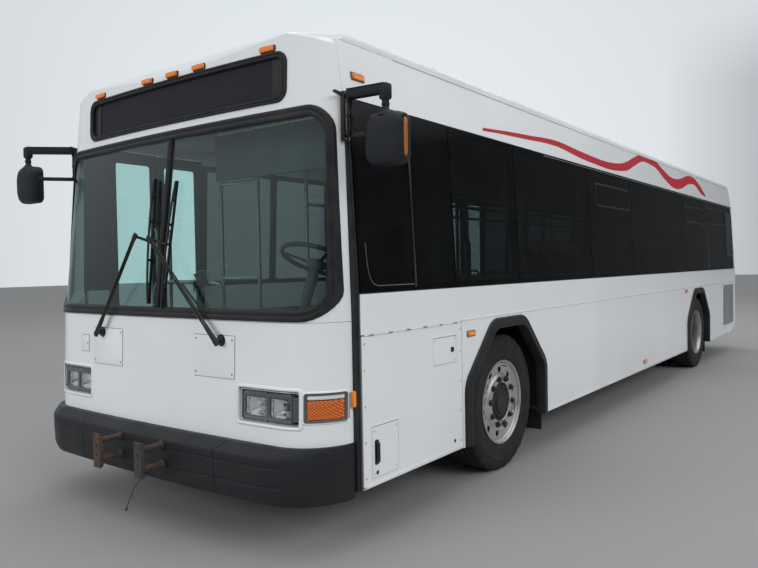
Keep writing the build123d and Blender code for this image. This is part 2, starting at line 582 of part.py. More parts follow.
# --- wipers -----------------------------------------------------------------------------------------------
# columns: pivot y, elbow (x, y, z), blade bottom, blade top; x ahead of the front axle
WIPERS = [
    (-569.0, (2052.0, -136.0, 1680.0), (2046.0, -70.0, 1275.0), (1946.0, -110.0, 2030.0)),
    (569.0, (2036.0, -20.0, 1664.0), (2052.0, 66.0, 1250.0), (1950.0, 105.0, 2000.0)),
]
wip = []
for py, el, b0, b1 in WIPERS:
    p = (AX_F + 2056, py, 1086)
    e = (AX_F + el[0], el[1], el[2])
    s = cyl_x(py, 1086, 13, AX_F + 1990, AX_F + 2062) + cyl_x(py, 1086, 30, AX_F + 2022, AX_F + 2070)
    s += bar((p[0], p[1], p[2]), e, 9)
    q0 = (AX_F + b0[0], b0[1], b0[2])
    q1 = (AX_F + b1[0], b1[1], b1[2])
    mid = tuple((u + v) / 2 for u, v in zip(q0, q1))
    s += bar(q0, q1, 9)
    s += bar(e, mid, 8)
    s += Pos(*e) * Sphere(13)
    wip.append(s)
put("wipers", wip)

# --- arch trims and mud flaps -------------------------------------------------------------------------------
trims = []
for c in (AX_F, ARCH_R):
    t = arch_shape(c, TRIM_OUT, HALF_W + 0.5, HALF_W + 30, zb=SKIRT_Z) - arch_shape(c, TRIM_IN, 1000, 1500, zb=0)
    t += (arch_shape(c, (599.0, 703.5, 237.6, 1065.0), 1240, HALF_W + 1, zb=SKIRT_Z) - arch_shape(c, TRIM_IN, 1000, 1500, zb=0))
    trims += both(t)
for x, y0, y1, z1 in ((AX_F - 676, 840, 1235, 304), (AX_R - 578, 660, 1235, 640)):
    trims += both(bx(x - 4, x + 4, y0, y1, 150, z1))
put("arch_trims", trims)

# --- wheel housings inside the body ----------------------------------------------------------------------------
hous = []
for c, yi, zt in ((AX_F, 560.0, 1080.0), ((AX_R + ARCH_R) / 2, 600.0, 1080.0)):
    h = bx(c - 640, c + 640, yi, 1238, FLOOR_Z, zt + 20) - bx(c - 622, c + 622, yi + 18, 1300, 0, zt)
    if c != AX_F:
        h &= bx(c - 700, c + 700, 0, 1400, REAR_FLOOR_Z + 0, 2000)
        h += (bx(c - 640, c + 640, yi, 1238, 500, zt + 20) - bx(c - 622, c + 622, yi - 10, 1300, 0, zt))
    hous += both(h)
put("wheel_housings", hous)

# --- underframe and floor -----------------------------------------------------------------------------------------
under_parts = bx(REAR_X + 700, POST_X - 50, -1240, 1240, FLOOR_Z - 50, FLOOR_Z) & bx(STEP_X, POST_X, -1300, 1300, 0, 1000)
under_parts -= bx(AX_F - 642, AX_F + 642, 558, 1400, 0, 1000)
under_parts -= bx(AX_F - 642, AX_F + 642, -1400, -558, 0, 1000)
doorways = [bx(a - 12, b + 12, -1300, -DOOR_Y + DOOR_T + 6, 0, 1000) for a, b in (FDOOR, RDOOR)]
for y in (-430.0, 430.0):
    under_parts += bx(STEP_X, POST_X + 232, y - 40, y + 40, 300, FLOOR_Z - 49)
for x in (1400.0, 900.0, -900.0, -1900.0, -2900.0, -3900.0):
    under_parts += bx(AX_F + x - 35, AX_F + x + 35, -1235, 1235, 305, FLOOR_Z - 49)
under_parts += front_body(-WALL - 2.0) & bx(POST_X - 60, POST_X + 400, -1300, 1300, FLOOR_Z - 50, FLOOR_Z)
rear_floor = bx(REAR_X + 175, STEP_X, -1240, 1240, REAR_FLOOR_Z - 50, REAR_FLOOR_Z)
rc = (AX_R + ARCH_R) / 2
for sgn in (1, -1):
    a, b = sorted((sgn * 598, sgn * 1400))
    rear_floor -= bx(rc - 642, rc + 642, a, b, 0, 1000)
rear_floor -= bx(AX_F - 8420, AX_F - 7190, -620, 620, 0, 1000)
under_parts += rear_floor
under_parts += bx(STEP_X - 40, STEP_X, -1240, 1240, 300, REAR_FLOOR_Z)
for y in (-430.0, 430.0):
    under_parts += bx(REAR_X + 110, STEP_X, y - 40, y + 40, 640, REAR_FLOOR_Z - 49) - bx(AX_F - 8420, AX_F - 7190, -620, 620, 0, 1000)
for x in (-4800.0, -6700.0, -7120.0):
    under_parts += bx(AX_F + x - 35, AX_F + x + 35, -1235, 1235, 660, REAR_FLOOR_Z - 49)
for d in doorways:
    under_parts -= d
put("underframe", under_parts.solids().sort_by(SortBy.VOLUME)[-1])

# engine and gearbox as one plain block at the rear
put("engine_block", bx(AX_F - 8380, AX_F - 7240, -560, 560, 430, 1180))

# --- axles --------------------------------------------------------------------------------------------------------------
ZC = TYRE_R
beam = bx(AX_F - 55, AX_F + 55, -560, 560, 190, 270)
for sgn in (1, -1):
    beam += flat((AX_F, sgn * 520, 232), (AX_F, sgn * 800, 440), 110, 80, up=(1, 0, 0))
    a, b = sorted((sgn * 770, sgn * (KINGPIN_Y + 2)))
    beam += bx(AX_F - 50, AX_F + 50, a, b, ZC - 48, ZC + 48)
    beam += cyl_z(AX_F, sgn * KINGPIN_Y, 50, ZC - 48, ZC + 48)
for sgn in (1, -1):
    beam -= cyl_z(AX_F, sgn * KINGPIN_Y, 21, ZC - 60, ZC + 60)
rax = cyl_y(AX_R, ZC, 85, -580, 580) + (Pos(AX_R, 0, ZC) * Sphere(190))
rax += cyl_y(AX_R, ZC, 60, -1180, 1180)
rax += cyl_x(0, ZC, 60, AX_R - 420, AX_R)
put("axles", beam, rax)

for name, sgn in (("knuckle_left", 1), ("knuckle_right", -1)):
    y = sgn * KINGPIN_Y
    k = cyl_z(AX_F, y, 20, ZC - 95, ZC + 95)
    k += cyl_z(AX_F, y, 48, ZC + 54, ZC + 96) + cyl_z(AX_F, y, 48, ZC - 96, ZC - 54)
    a, b = sorted((sgn * (KINGPIN_Y + 56), sgn * (KINGPIN_Y + 92)))
    k += bx(AX_F - 60, AX_F + 60, a, b, ZC - 96, ZC + 96)
    for z0, z1 in ((ZC + 54, ZC + 96), (ZC - 96, ZC - 54)):
        c, d = sorted((y, sgn * (KINGPIN_Y + 60)))
        k += bx(AX_F - 46, AX_F + 46, c, d, z0, z1)
    c, d = sorted((sgn * (KINGPIN_Y + 90), sgn * 1215))
    k += cyl_y(AX_F, ZC, 35, c, d)
    # steering arm
    k += bx(AX_F - 230, AX_F - 40, min(y - 22, y + 22), max(y - 22, y + 22), ZC - 92, ZC - 62)
    put(name, k)


# --- wheels ---------------------------------------------------------------------------------------------------------------
def tyre(x, y):
    """One tyre, turned about its axle; section of lines with rounded shoulders."""
    h = TYRE_W / 2
    w = FilletPolyline((0, RIM_R + 4, -h + 28), (0, 400, -h), (0, TYRE_R - 55, -h + 2), (0, TYRE_R, -h + 26),
                       (0, TYRE_R, h - 26), (0, TYRE_R - 55, h - 2), (0, 400, h), (0, RIM_R + 4, h - 28),
                       radius=[60, 40, 22, 22, 40, 60])
    c = Line((0, RIM_R + 4, h - 28), (0, RIM_R + 4, -h + 28))
    f = make_face(Wire(list(w.edges()) + [c]))
    s = revolve(f, Axis.Z)
    return Pos(x, y, ZC) * Rot(90, 0, 0) * s


def ring_y(x, r0, r1, y0, y1):
    return cyl_y(x, ZC, r1, y0, y1) - cyl_y(x, ZC, r0, y0 - 1, y1 + 1)


def rim_barrel(x, y):
    """Rim barrel about the plane y: well and two flanges."""
    s = ring_y(x, RIM_R - 16, RIM_R + 2, y - 118, y + 118)
    s += ring_y(x, RIM_R - 10, RIM_FLANGE_R, y - 122, y - 112)
    s += ring_y(x, RIM_R - 10, RIM_FLANGE_R, y + 112, y + 122)
    return s


def disc_holes(x, y0, y1, r, n, d):
    return [Pos(x, 0, ZC) * Rot(0, 360.0 / n * (i + 0.5), 0) * Pos(0, 0, r) * Rot(90, 0, 0) *
            Pos(0, 0, -(y0 + y1) / 2) * Cylinder(d / 2, abs(y1 - y0)) for i in range(n)]


BOLT_R = 167.5
# front wheels: the disc stands near the outer flange
for side, sgn in (("left", 1), ("right", -1)):
    y = sgn * FRONT_TRACK_Y
    s = rim_barrel(AX_F, y)
    a, b = sorted((sgn * (FRONT_TRACK_Y + 78), sgn * (FRONT_TRACK_Y + 100)))
    s += cyl_y(AX_F, ZC, RIM_R - 10, a, b)
    c, d = sorted((sgn * (FRONT_TRACK_Y - 60), sgn * (FRONT_TRACK_Y + 128)))
    s += cyl_y(AX_F, ZC, 128, c, d)
    e, g = sorted((sgn * (FRONT_TRACK_Y - 70), sgn * (FRONT_TRACK_Y + 82)))
    s += ring_y(AX_F, 180, 205, e, g)
    s -= cyl_y(AX_F, ZC, 36, min(c, d) - 1, sgn * 1222) if sgn == 1 else cyl_y(AX_F, ZC, 36, -1222, max(c, d) + 1)
    for hole in disc_holes(AX_F, a - 5, b + 5, 228.0, 10, 44):
        s -= hole
    put("front_%s_rim" % side, s)
    put("front_%s_tyre" % side, tyre(AX_F, y))
# rear wheels: two barrels, discs back to back between them
for side, sgn in (("left", 1), ("right", -1)):
    s = rim_barrel(AX_R, sgn * REAR_OUT_Y) + rim_barrel(AX_R, sgn * REAR_IN_Y)
    mid = (REAR_OUT_Y + REAR_IN_Y) / 2
    a, b = sorted((sgn * (mid - 22), sgn * (mid + 22)))
    s += cyl_y(AX_R, ZC, RIM_R - 10, a, b)
    s += ring_y(AX_R, RIM_R - 28, RIM_R - 4, *sorted((sgn * (REAR_IN_Y + 100), sgn * (REAR_OUT_Y - 100))))
    c, d = sorted((sgn * 690, sgn * (REAR_OUT_Y + 95)))
    s += cyl_y(AX_R, ZC, 125, c, d)
    s -= cyl_y(AX_R, ZC, 62, *sorted((sgn * 600, sgn * 1185)))
    for hole in disc_holes(AX_R, a - 5, b + 5, 228.0, 10, 44):
        s -= hole
    put("rear_%s_rims" % side, s)
    put("rear_%s_tyres" % side, tyre(AX_R, sgn * REAR_OUT_Y), tyre(AX_R, sgn * REAR_IN_Y))

# --- service door on the driver's side, with its two small flaps ---------------------------------------------------------------
SD = (AX_F + 669.0, POST_X - 48.0, SKIRT_Z + 3, SEAM_Z - 7.0)
sd = bx(SD[0], SD[1], HALF_W - 40, HALF_W, SD[2], SD[3])
BF = (AX_F + 1381.0, AX_F + 1621.0, 348.0, 620.0)
FF = (AX_F + 742.0, AX_F + 1005.0, 870.0, 1031.0)
for f in (BF, FF):
    sd -= bx(f[0] - 3, f[1] + 3, HALF_W - 28, HALF_W + 10, f[2] - 3, f[3] + 3)
sd += cyl_x(HALF_W + 2, 1112.5, 4.0, SD[0] + 20, SD[1] - 20)   # hinge barrel
put("service_door", sd)
bf = bx(BF[0], BF[1], HALF_W - 12, HALF_W, BF[2], BF[3]) + bx(AX_F + 1574, AX_F + 1590, HALF_W - 1, HALF_W + 18, 430, 535)
bf += cyl_z(AX_F + 1379.8, HALF_W + 1, 1.9, 350, 618)
put("battery_flap", bf)
ff = bx(FF[0], FF[1], HALF_W - 12, HALF_W, FF[2], FF[3]) + bx(AX_F + 775, AX_F + 800, HALF_W - 1, HALF_W + 6, 936, 962)
ff += cyl_z(AX_F + 1006.2, HALF_W + 1, 1.9, 872, 1029)
put("fuse_flap", ff)


# --- passenger doors on the kerb side ---------------------------------------------------------------------------------------------
def leaf(x0, x1, xh):
    """Door leaf from x0 to x1 with its hinge barrel at xh."""
    s = bx(x0, x1, -DOOR_Y, -DOOR_Y + DOOR_T, DOOR_Z[0], DOOR_Z[1])
    s += cyl_z(xh, -DOOR_Y - 1.5, 3.8, DOOR_Z[0] + 5, DOOR_Z[1] - 5)
    cut = round_xz(x0 + 46, x1 - 46, DOOR_Z[0] + 95, DOOR_Z[1] - 70, 30, -1300, -1100)
    pane = round_xz(x0 + 46.6, x1 - 46.6, DOOR_Z[0] + 95.6, DOOR_Z[1] - 70.6, 29.4, -DOOR_Y + 8, -DOOR_Y + 14)
    return [s - cut, pane]


for name, (xa, xb) in (("front_door", FDOOR), ("rear_door", RDOOR)):
    xm = (xa + xb) / 2
    put(name + "_fore_leaf", leaf(xm + 5, xb - 1, xb + 0.5))
    put(name + "_aft_leaf", leaf(xa + 1, xm - 5, xa - 0.5))

# --- driver's place ------------------------------------------------------------------------------------------------------------------
DR_Y = 640.0
dash = prism_xz([(AX_F + 1560, 900), (AX_F + 1560, 1130), (AX_F + 1700, 1175), (AX_F + 1930, 1160), (AX_F + 1930, 900)], 120, 1180)
dash += prism_xz([(AX_F + 1820, 395), (AX_F + 1820, 905), (AX_F + 1930, 905), (AX_F + 1930, 395)], 120, 1180)
dash2 = prism_xz([(AX_F + 1790, 1080), (AX_F + 1760, 1150), (AX_F + 1930, 1150), (AX_F + 1930, 1080)], -1160, 121)
dash += dash2
dash &= front_body(-WALL - 4)
partition = bx(AX_F + 640, AX_F + 668, 160, 1190, 1102, 2100)
put("dashboard", dash, partition)

seat = bx(AX_F + 800, AX_F + 1250, DR_Y - 240, DR_Y + 240, 900, 1010)
seat = fillet(seat.edges(), 30)
back = prism_xz([(AX_F + 800, 1011), (AX_F + 700, 1750), (AX_F + 800, 1790), (AX_F + 910, 1011)], DR_Y - 235, DR_Y + 235, 25)
ped = cyl_z(AX_F + 1020, DR_Y, 130, 560, 900 - 0.5)
plat = bx(AX_F + 700, AX_F + 1800, 150, 1180, FLOOR_Z + 0.5, 559.5)
put("driver_seat", seat, back, ped, plat)

# steering wheel and column
COL_TOP = (AX_F + 1290.0, DR_Y, 1520.0)
COL_DIR = (-0.42, 0.0, 0.9075)


def on_col(d):
    return tuple(c + d * k for c, k in zip(COL_TOP, COL_DIR))


sw_plane = Plane(origin=COL_TOP, z_dir=COL_DIR)
sw = Solid.make_torus(228, 15, sw_plane)
sw = sw + bar(on_col(-60), on_col(10), 45)
for ang in (90, 210, 330):
    v = sw_plane.x_dir.rotate(Axis((0, 0, 0), tuple(sw_plane.z_dir)), ang)
    q = tuple(c + 226 * k for c, k in zip(COL_TOP, tuple(v)))
    sw = sw + bar(on_col(-20), q, 11)
sw = sw + bar(on_col(-545), on_col(-50), 24)
put("steering_wheel", sw)

# --- passenger seats --------------------------------------------------------------------------------------------------------------------
# columns: x ahead of the front axle, side, seat height above the floor, width middle |y|
SEATS = []
for k in range(5):
    SEATS.append((-1150.0 - 720.0 * k, 1, FLOOR_Z))
for k in range(3):
    SEATS.append((-1150.0 - 720.0 * k, -1, FLOOR_Z))
for k in range(3):
    SEATS.append((-5080.0 - 760.0 * k, 1, REAR_FLOOR_Z))
    SEATS.append((-5080.0 - 760.0 * k, -1, REAR_FLOOR_Z))
ps = []
for x, sgn, zf in SEATS:
    xx = AX_F + x
    zs = max(zf + 400, 1130 if (abs(x + 5800) < 760) else 0)
    a = bx(xx, xx + 430, 400, 1190, zs, zs + 45)
    a += prism_xz([(xx - 5, zs + 20), (xx - 110, zs + 560), (xx - 70, zs + 575), (xx + 45, zs + 30)], 400, 1190)
    a += bx(xx + 150, xx + 200, 700, 760, zf + 0.5 if zs < 1120 else 1101.0, zs + 5)
    ps.append(a if sgn == 1 else flip(a))
put("passenger_seats", ps)

# --- stanchions and handrails -------------------------------------------------------------------------------------------------------------
RAIL_Z = 1990.0
POSTS = ((290, FLOOR_Z), (-900, FLOOR_Z), (-2350, FLOOR_Z), (-3800, FLOOR_Z), (-4700, REAR_FLOOR_Z), (-6990, REAR_FLOOR_Z))
sta = []
for sgn in (1, -1):
    y = sgn * 360.0
    x_a, x_b = AX_F + 300, AX_F - 7000
    sta.append(bar((x_b, y, RAIL_Z), (x_a, y, RAIL_Z), 14))
    for x, zf in POSTS:          # columns: x ahead of the front axle, height of the floor
        sta.append(bar((AX_F + x, y, zf + 0.5), (AX_F + x, y, RAIL_Z - 14.4), 16))
        sta.append(bar((AX_F + x, y, RAIL_Z + 14.4), (AX_F + x, y, 2780), 16))
gx = AX_F + 600
for y in (-1040, -600):
    sta.append(bar((gx, y, 1100.5), (gx, y, 2200), 16))
for z in (1400, 2180):
    sta.append(bar((gx, -1023.6, z), (gx, -616.4, z), 14))
put("stanchions", sta)

# --- write every piece ---------------------------------------------------------------------------------------------------------------------------
for name, solids in PARTS.items():
    shape = solids[0] if len(solids) == 1 else Compound(children=solids)
    shape.label = name
    export_step(shape, "parts/%s.step" % name)
    print(name, len(solids), "%.1f" % sum(s.volume / 1e6 for s in solids))
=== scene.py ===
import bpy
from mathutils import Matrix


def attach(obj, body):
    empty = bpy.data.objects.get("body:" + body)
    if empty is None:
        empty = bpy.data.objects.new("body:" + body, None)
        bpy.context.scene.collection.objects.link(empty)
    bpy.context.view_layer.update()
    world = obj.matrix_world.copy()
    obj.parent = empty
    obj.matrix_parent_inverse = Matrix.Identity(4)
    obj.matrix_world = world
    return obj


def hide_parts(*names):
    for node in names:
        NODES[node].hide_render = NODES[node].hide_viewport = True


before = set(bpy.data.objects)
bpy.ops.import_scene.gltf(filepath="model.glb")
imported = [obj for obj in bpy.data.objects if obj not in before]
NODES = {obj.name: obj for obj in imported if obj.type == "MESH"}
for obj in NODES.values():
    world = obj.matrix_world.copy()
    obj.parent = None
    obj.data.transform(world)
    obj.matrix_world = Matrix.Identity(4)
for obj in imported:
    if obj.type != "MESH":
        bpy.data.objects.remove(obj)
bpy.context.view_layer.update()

import math
import random

import bmesh
import bpy
from mathutils import Matrix, Vector

random.seed(11)

# ---------------------------------------------------------------------------
# City bus.  Metres.  +X forward, +Y the driver's side, +Z up.
# ---------------------------------------------------------------------------
AX_F, AX_R, ARCH_R, POST_X, REAR_X = 3.160, -2.700, -2.640, 4.905, -5.345
HALF_W, BELT_Z, BAND_TOP_Z, CANT_Z = 1.295, 1.331, 2.350, 2.655
BAND_TOP_Y, CANT_Y, SEAM_Z, SKIRT_Z = 1.245, 1.200, 1.117, 0.302
ZC = 0.485
FRONT = [(0.302, 2.045), (1.211, 2.012), (2.350, 1.866), (2.655, 1.853), (2.912, 1.853)]

# --- camera and light ---------------------------------------------------------
cam = bpy.data.objects.new("camera", bpy.data.cameras.new("camera"))
bpy.context.scene.collection.objects.link(cam)
yaw, pitch, roll = 3.783037, -0.025171, -0.018013
fwd = Vector((math.cos(yaw) * math.cos(pitch), math.sin(yaw) * math.cos(pitch), math.sin(pitch)))
rgt = Vector((math.sin(yaw), -math.cos(yaw), 0.0))
upv = rgt.cross(fwd)
r2 = rgt * math.cos(roll) + upv * math.sin(roll)
u2 = upv * math.cos(roll) - rgt * math.sin(roll)
cm = Matrix((r2, u2, -fwd)).transposed().to_4x4()
cm.translation = Vector((7.7084, 3.5445, 1.4737))
cam.matrix_world = cm
cam.data.sensor_width = 36.0
cam.data.lens = 33.325
cam.data.clip_end = 400.0
bpy.context.scene.camera = cam


def area(name, place, aim, size, watts, colour=(1, 1, 1)):
    d = bpy.data.lights.new(name, "AREA")
    d.shape, d.size, d.size_y = "RECTANGLE", size[0], size[1]
    d.energy, d.color = watts, colour
    o = bpy.data.objects.new(name, d)
    bpy.context.scene.collection.objects.link(o)
    o.location = place
    o.rotation_euler = (Vector(aim) - Vector(place)).to_track_quat("-Z", "Y").to_euler()
    return o


area("top_light", (0, 1.0, 13), (0, 0, 1), (16, 12), 430)
area("front_light", (15, -3.5, 4.2), (4.5, 0, 1.0), (7, 5), 620).visible_glossy = False
area("side_light", (3, 15, 8), (0, 0, 1.2), (16, 6), 1450).visible_glossy = False
area("far_light", (-12, -9, 9), (-2, 0, 1.5), (9, 6), 450)
for i, x in enumerate((3.6, 0.6, -2.4)):
    o = area("cabin_light_%d" % i, (x, 0, 2.55), (x, 0, 0.5), (1.6, 1.2), 4)
    o.visible_camera = False
    o.visible_glossy = False

world = bpy.data.worlds.new("studio")
bpy.context.scene.world = world
world.use_nodes = True
wt = world.node_tree
wt.nodes.clear()
w_out = wt.nodes.new("ShaderNodeOutputWorld")
w_bg = wt.nodes.new("ShaderNodeBackground")
w_tc = wt.nodes.new("ShaderNodeTexCoord")
w_sep = wt.nodes.new("ShaderNodeSeparateXYZ")
w_ramp = wt.nodes.new("ShaderNodeValToRGB")
wt.links.new(w_tc.outputs["Generated"], w_sep.inputs[0])
wt.links.new(w_sep.outputs["Z"], w_ramp.inputs[0])
wt.links.new(w_bg.outputs[0], w_out.inputs[0])
e = w_ramp.color_ramp.elements
e[0].position, e[0].color = 0.0, (0.30, 0.31, 0.325, 1)
e[1].position, e[1].color = 0.30, (0.62, 0.64, 0.67, 1)
k = e.new(0.9)
k.color = (0.95, 0.97, 1.0, 1)
# pale far horizon behind the vehicle, seen through its glass
w_dot = wt.nodes.new("ShaderNodeVectorMath")
w_dot.operation = "DOT_PRODUCT"
w_dot.inputs[1].default_value = (-0.80, -0.60, 0.0)
wt.links.new(w_tc.outputs["Generated"], w_dot.inputs[0])
w_map = wt.nodes.new("ShaderNodeMapRange")
w_map.inputs[1].default_value, w_map.inputs[2].default_value = 0.55, 0.95
wt.links.new(w_dot.outputs["Value"], w_map.inputs[0])
w_mix = wt.nodes.new("ShaderNodeMix")
w_mix.data_type = "RGBA"
w_mix.inputs[7].default_value = (1.10, 1.16, 1.20, 1)
wt.links.new(w_map.outputs[0], w_mix.inputs[0])
wt.links.new(w_ramp.outputs[0], w_mix.inputs[6])
# dark low band on the driver's side, mirrored in the side windows
w_dot2 = wt.nodes.new("ShaderNodeVectorMath")
w_dot2.operation = "DOT_PRODUCT"
w_dot2.inputs[1].default_value = (-0.35, 0.937, 0.0)
wt.links.new(w_tc.outputs["Generated"], w_dot2.inputs[0])
w_m2 = wt.nodes.new("ShaderNodeMapRange")
w_m2.inputs[1].default_value, w_m2.inputs[2].default_value = 0.10, 0.45
wt.links.new(w_dot2.outputs["Value"], w_m2.inputs[0])
w_m3 = wt.nodes.new("ShaderNodeMapRange")
w_m3.inputs[1].default_value, w_m3.inputs[2].default_value = 0.30, 0.22
wt.links.new(w_sep.outputs["Z"], w_m3.inputs[0])
w_mul = wt.nodes.new("ShaderNodeMath")
w_mul.operation = "MULTIPLY"
wt.links.new(w_m2.outputs[0], w_mul.inputs[0])
wt.links.new(w_m3.outputs[0], w_mul.inputs[1])
w_mix2 = wt.nodes.new("ShaderNodeMix")
w_mix2.data_type = "RGBA"
w_mix2.inputs[7].default_value = (0.075, 0.08, 0.085, 1)
wt.links.new(w_mul.outputs[0], w_mix2.inputs[0])
wt.links.new(w_mix.outputs[2], w_mix2.inputs[6])
wt.links.new(w_mix2.outputs[2], w_bg.inputs[0])
w_bg.inputs[1].default_value = 0.70


# --- materials -------------------------------------------------------------------
class Mat:
    """A procedural material. Coordinates are the mesh's own, in metres."""

    def __init__(self, name):
        self.m = bpy.data.materials.new(name)
        self.m.use_nodes = True
        self.t = self.m.node_tree
        self.t.nodes.clear()
        self.o = self.new("ShaderNodeOutputMaterial")
        self.p = self.new("ShaderNodeBsdfPrincipled")
        self.link(self.p.outputs[0], self.o.inputs[0])
        self.tc = self.new("ShaderNodeTexCoord")
        self.sep = None

    def new(self, kind, **props):
        n = self.t.nodes.new(kind)
        for k, v in props.items():
            setattr(n, k, v)
        return n

    def link(self, a, b):
        self.t.links.new(a, b)

    def feed(self, socket, v):
        if isinstance(v, bpy.types.NodeSocket):
            self.link(v, socket)
        elif isinstance(v, tuple) and len(v) == 3 and socket.type == "RGBA":
            socket.default_value = (*v, 1)
        else:
            socket.default_value = v

    def co(self, stretch=(1, 1, 1), turn=(0, 0, 0)):
        n = self.new("ShaderNodeMapping")
        n.inputs["Scale"].default_value = stretch
        n.inputs["Rotation"].default_value = turn
        self.link(self.tc.outputs["Object"], n.inputs[0])
        return n.outputs[0]

    def axis(self, k):
        if self.sep is None:
            self.sep = self.new("ShaderNodeSeparateXYZ")
            self.link(self.tc.outputs["Object"], self.sep.inputs[0])
        return self.sep.outputs[k]

    def noise(self, scale, detail=3.0, rough=0.55, stretch=(1, 1, 1), twist=0.0):
        n = self.new("ShaderNodeTexNoise")
        self.link(self.co(stretch), n.inputs["Vector"])
        n.inputs["Scale"].default_value = scale
        n.inputs["Detail"].default_value = detail
        n.inputs["Roughness"].default_value = rough
        n.inputs["Distortion"].default_value = twist
        return n.outputs[0]

    def cells(self, scale, feature="F1", stretch=(1, 1, 1), turn=(0, 0, 0), random_=1.0):
        n = self.new("ShaderNodeTexVoronoi", feature=feature)
        self.link(self.co(stretch, turn), n.inputs["Vector"])
        n.inputs["Scale"].default_value = scale
        n.inputs["Randomness"].default_value = random_
        return n.outputs[0]

    def wave(self, scale, direction="X", stretch=(1, 1, 1), turn=(0, 0, 0), twist=0.0, profile="SIN"):
        n = self.new("ShaderNodeTexWave", bands_direction=direction, wave_profile=profile)
        self.link(self.co(stretch, turn), n.inputs["Vector"])
        n.inputs["Scale"].default_value = scale
        n.inputs["Distortion"].default_value = twist
        return n.outputs["Fac"]

    def span(self, v, a, b, lo=0.0, hi=1.0):
        """v from a to b becomes lo to hi, smoothly."""
        n = self.new("ShaderNodeMapRange", interpolation_type="SMOOTHSTEP")
        self.link(v, n.inputs[0])
        if a > b:
            a, b, lo, hi = b, a, hi, lo
        n.inputs[1].default_value, n.inputs[2].default_value = a, b
        n.inputs[3].default_value, n.inputs[4].default_value = lo, hi
        return n.outputs[0]

    def math(self, op, a, b=0.0, clamp=False):
        n = self.new("ShaderNodeMath", operation=op, use_clamp=clamp)
        self.feed(n.inputs[0], a)
        self.feed(n.inputs[1], b)
        return n.outputs[0]

    def mul(self, a, b):
        return self.math("MULTIPLY", a, b)

    def add(self, a, b):
        return self.math("ADD", a, b, True)

    def mix(self, f, a, b):
        n = self.new("ShaderNodeMix", data_type="RGBA")
        self.feed(n.inputs[0], f)
        self.feed(n.inputs[6], a)
        self.feed(n.inputs[7], b)
        return n.outputs[2]

    def set(self, **kw):
        names = {"base": "Base Color", "rough": "Roughness", "metal": "Metallic", "coat": "Coat Weight",
                 "coat_rough": "Coat Roughness", "spec": "Specular IOR Level", "glow": "Emission Strength",
                 "glow_colour": "Emission Color", "sheen": "Sheen Weight", "sheen_rough": "Sheen Roughness",
                 "through": "Transmission Weight", "ior": "IOR", "alpha": "Alpha"}
        for k, v in kw.items():
            self.feed(self.p.inputs[names[k]], v)
        return self

    def bump(self, height, strength=0.3, dist=0.001, target=None):
        n = self.new("ShaderNodeBump")
        n.inputs["Strength"].default_value = strength
        n.inputs["Distance"].default_value = dist
        self.link(height, n.inputs["Height"])
        self.link(n.outputs[0], (target or self.p).inputs["Normal"])
        return self


def paint(name, colour, shade, rough=0.24, dirt=1.0, coat=0.35):
    """Old gloss paint: cloudy tone, run marks, road film near the ground."""
    m = Mat(name)
    cloud = m.noise(0.9, 2.0)
    runs = m.noise(9, 3.0, 0.6, stretch=(1.0, 1.0, 0.05))
    film = m.noise(1.6, 2.0, 0.5, stretch=(0.55, 0.55, 1.0))
    z = m.axis(2)
    low = m.span(z, 0.98, 0.26)
    road = m.mul(low, m.span(film, 0.34, 0.74))
    marks = m.mul(m.span(runs, 0.55, 0.80), m.span(film, 0.35, 0.70))
    d = m.add(m.mul(road, 0.10 * dirt), m.mul(marks, 0.03 * dirt))
    base = m.mix(m.span(cloud, 0.3, 0.7), colour, shade)
    m.set(base=m.mix(d, base, (0.30, 0.285, 0.26)), coat=coat, coat_rough=0.06,
          rough=m.span(cloud, 0.3, 0.7, rough - 0.01, rough + 0.02))
    m.bump(m.noise(1.7, 2.0), 0.05, 0.006)
    return m.m


def plastic(name, colour, pale, rough=0.5, grain=700.0, strength=0.25, dust=0.3, coat=0.0):
    """Moulded plastic or rubber, with fine grain, greyed patches and dust."""
    m = Mat(name)
    patch = m.noise(5.0, 4.0, 0.6)
    fine = m.noise(grain, 2.0)
    scuff = m.noise(30, 5.0, 0.7, stretch=(1.0, 0.35, 1.6))
    d = m.add(m.mul(m.span(patch, 0.42, 0.72), dust), m.mul(m.span(scuff, 0.62, 0.80), dust * 0.8))
    m.set(base=m.mix(d, colour, pale), rough=m.span(patch, 0.3, 0.7, rough - 0.07, rough + 0.12), coat=coat)
    m.bump(m.add(m.mul(fine, 0.5), m.mul(patch, 0.3)), strength, 0.0006)
    return m.m


def metal(name, colour, rough=0.2, dirt=0.15, dirt_colour=(0.16, 0.14, 0.12), brush=(1, 1, 1), scale=60, bump=0.15):
    """Bare or polished metal with brushing and a film of dirt."""
    m = Mat(name)
    b = m.noise(scale, 3.0, 0.6, stretch=brush)
    p = m.noise(9.0, 5.0, 0.65)
    d = m.mul(m.span(p, 0.45, 0.75), dirt)
    m.set(base=m.mix(d, colour, dirt_colour), metal=m.span(d, 0.25, 0.9, 1.0, 0.3),
          rough=m.add(m.span(b, 0.25, 0.75, max(rough - 0.07, 0.03), rough + 0.10), m.mul(d, 0.6)))
    m.bump(b, bump, 0.0005)
    return m.m


def rust(name, iron, light, deep, amount=0.5, rough=0.75):
    m = Mat(name)
    a = m.noise(11, 6.0, 0.7)
    b = m.noise(55, 5.0, 0.7)
    f = m.span(a, 0.62 - 0.35 * amount, 0.80 - 0.35 * amount)
    m.set(base=m.mix(f, iron, m.mix(m.span(b, 0.35, 0.7), light, deep)), rough=rough)
    m.bump(m.add(m.mul(b, 0.6), m.mul(a, 0.5)), 0.7, 0.0015)
    return m.m


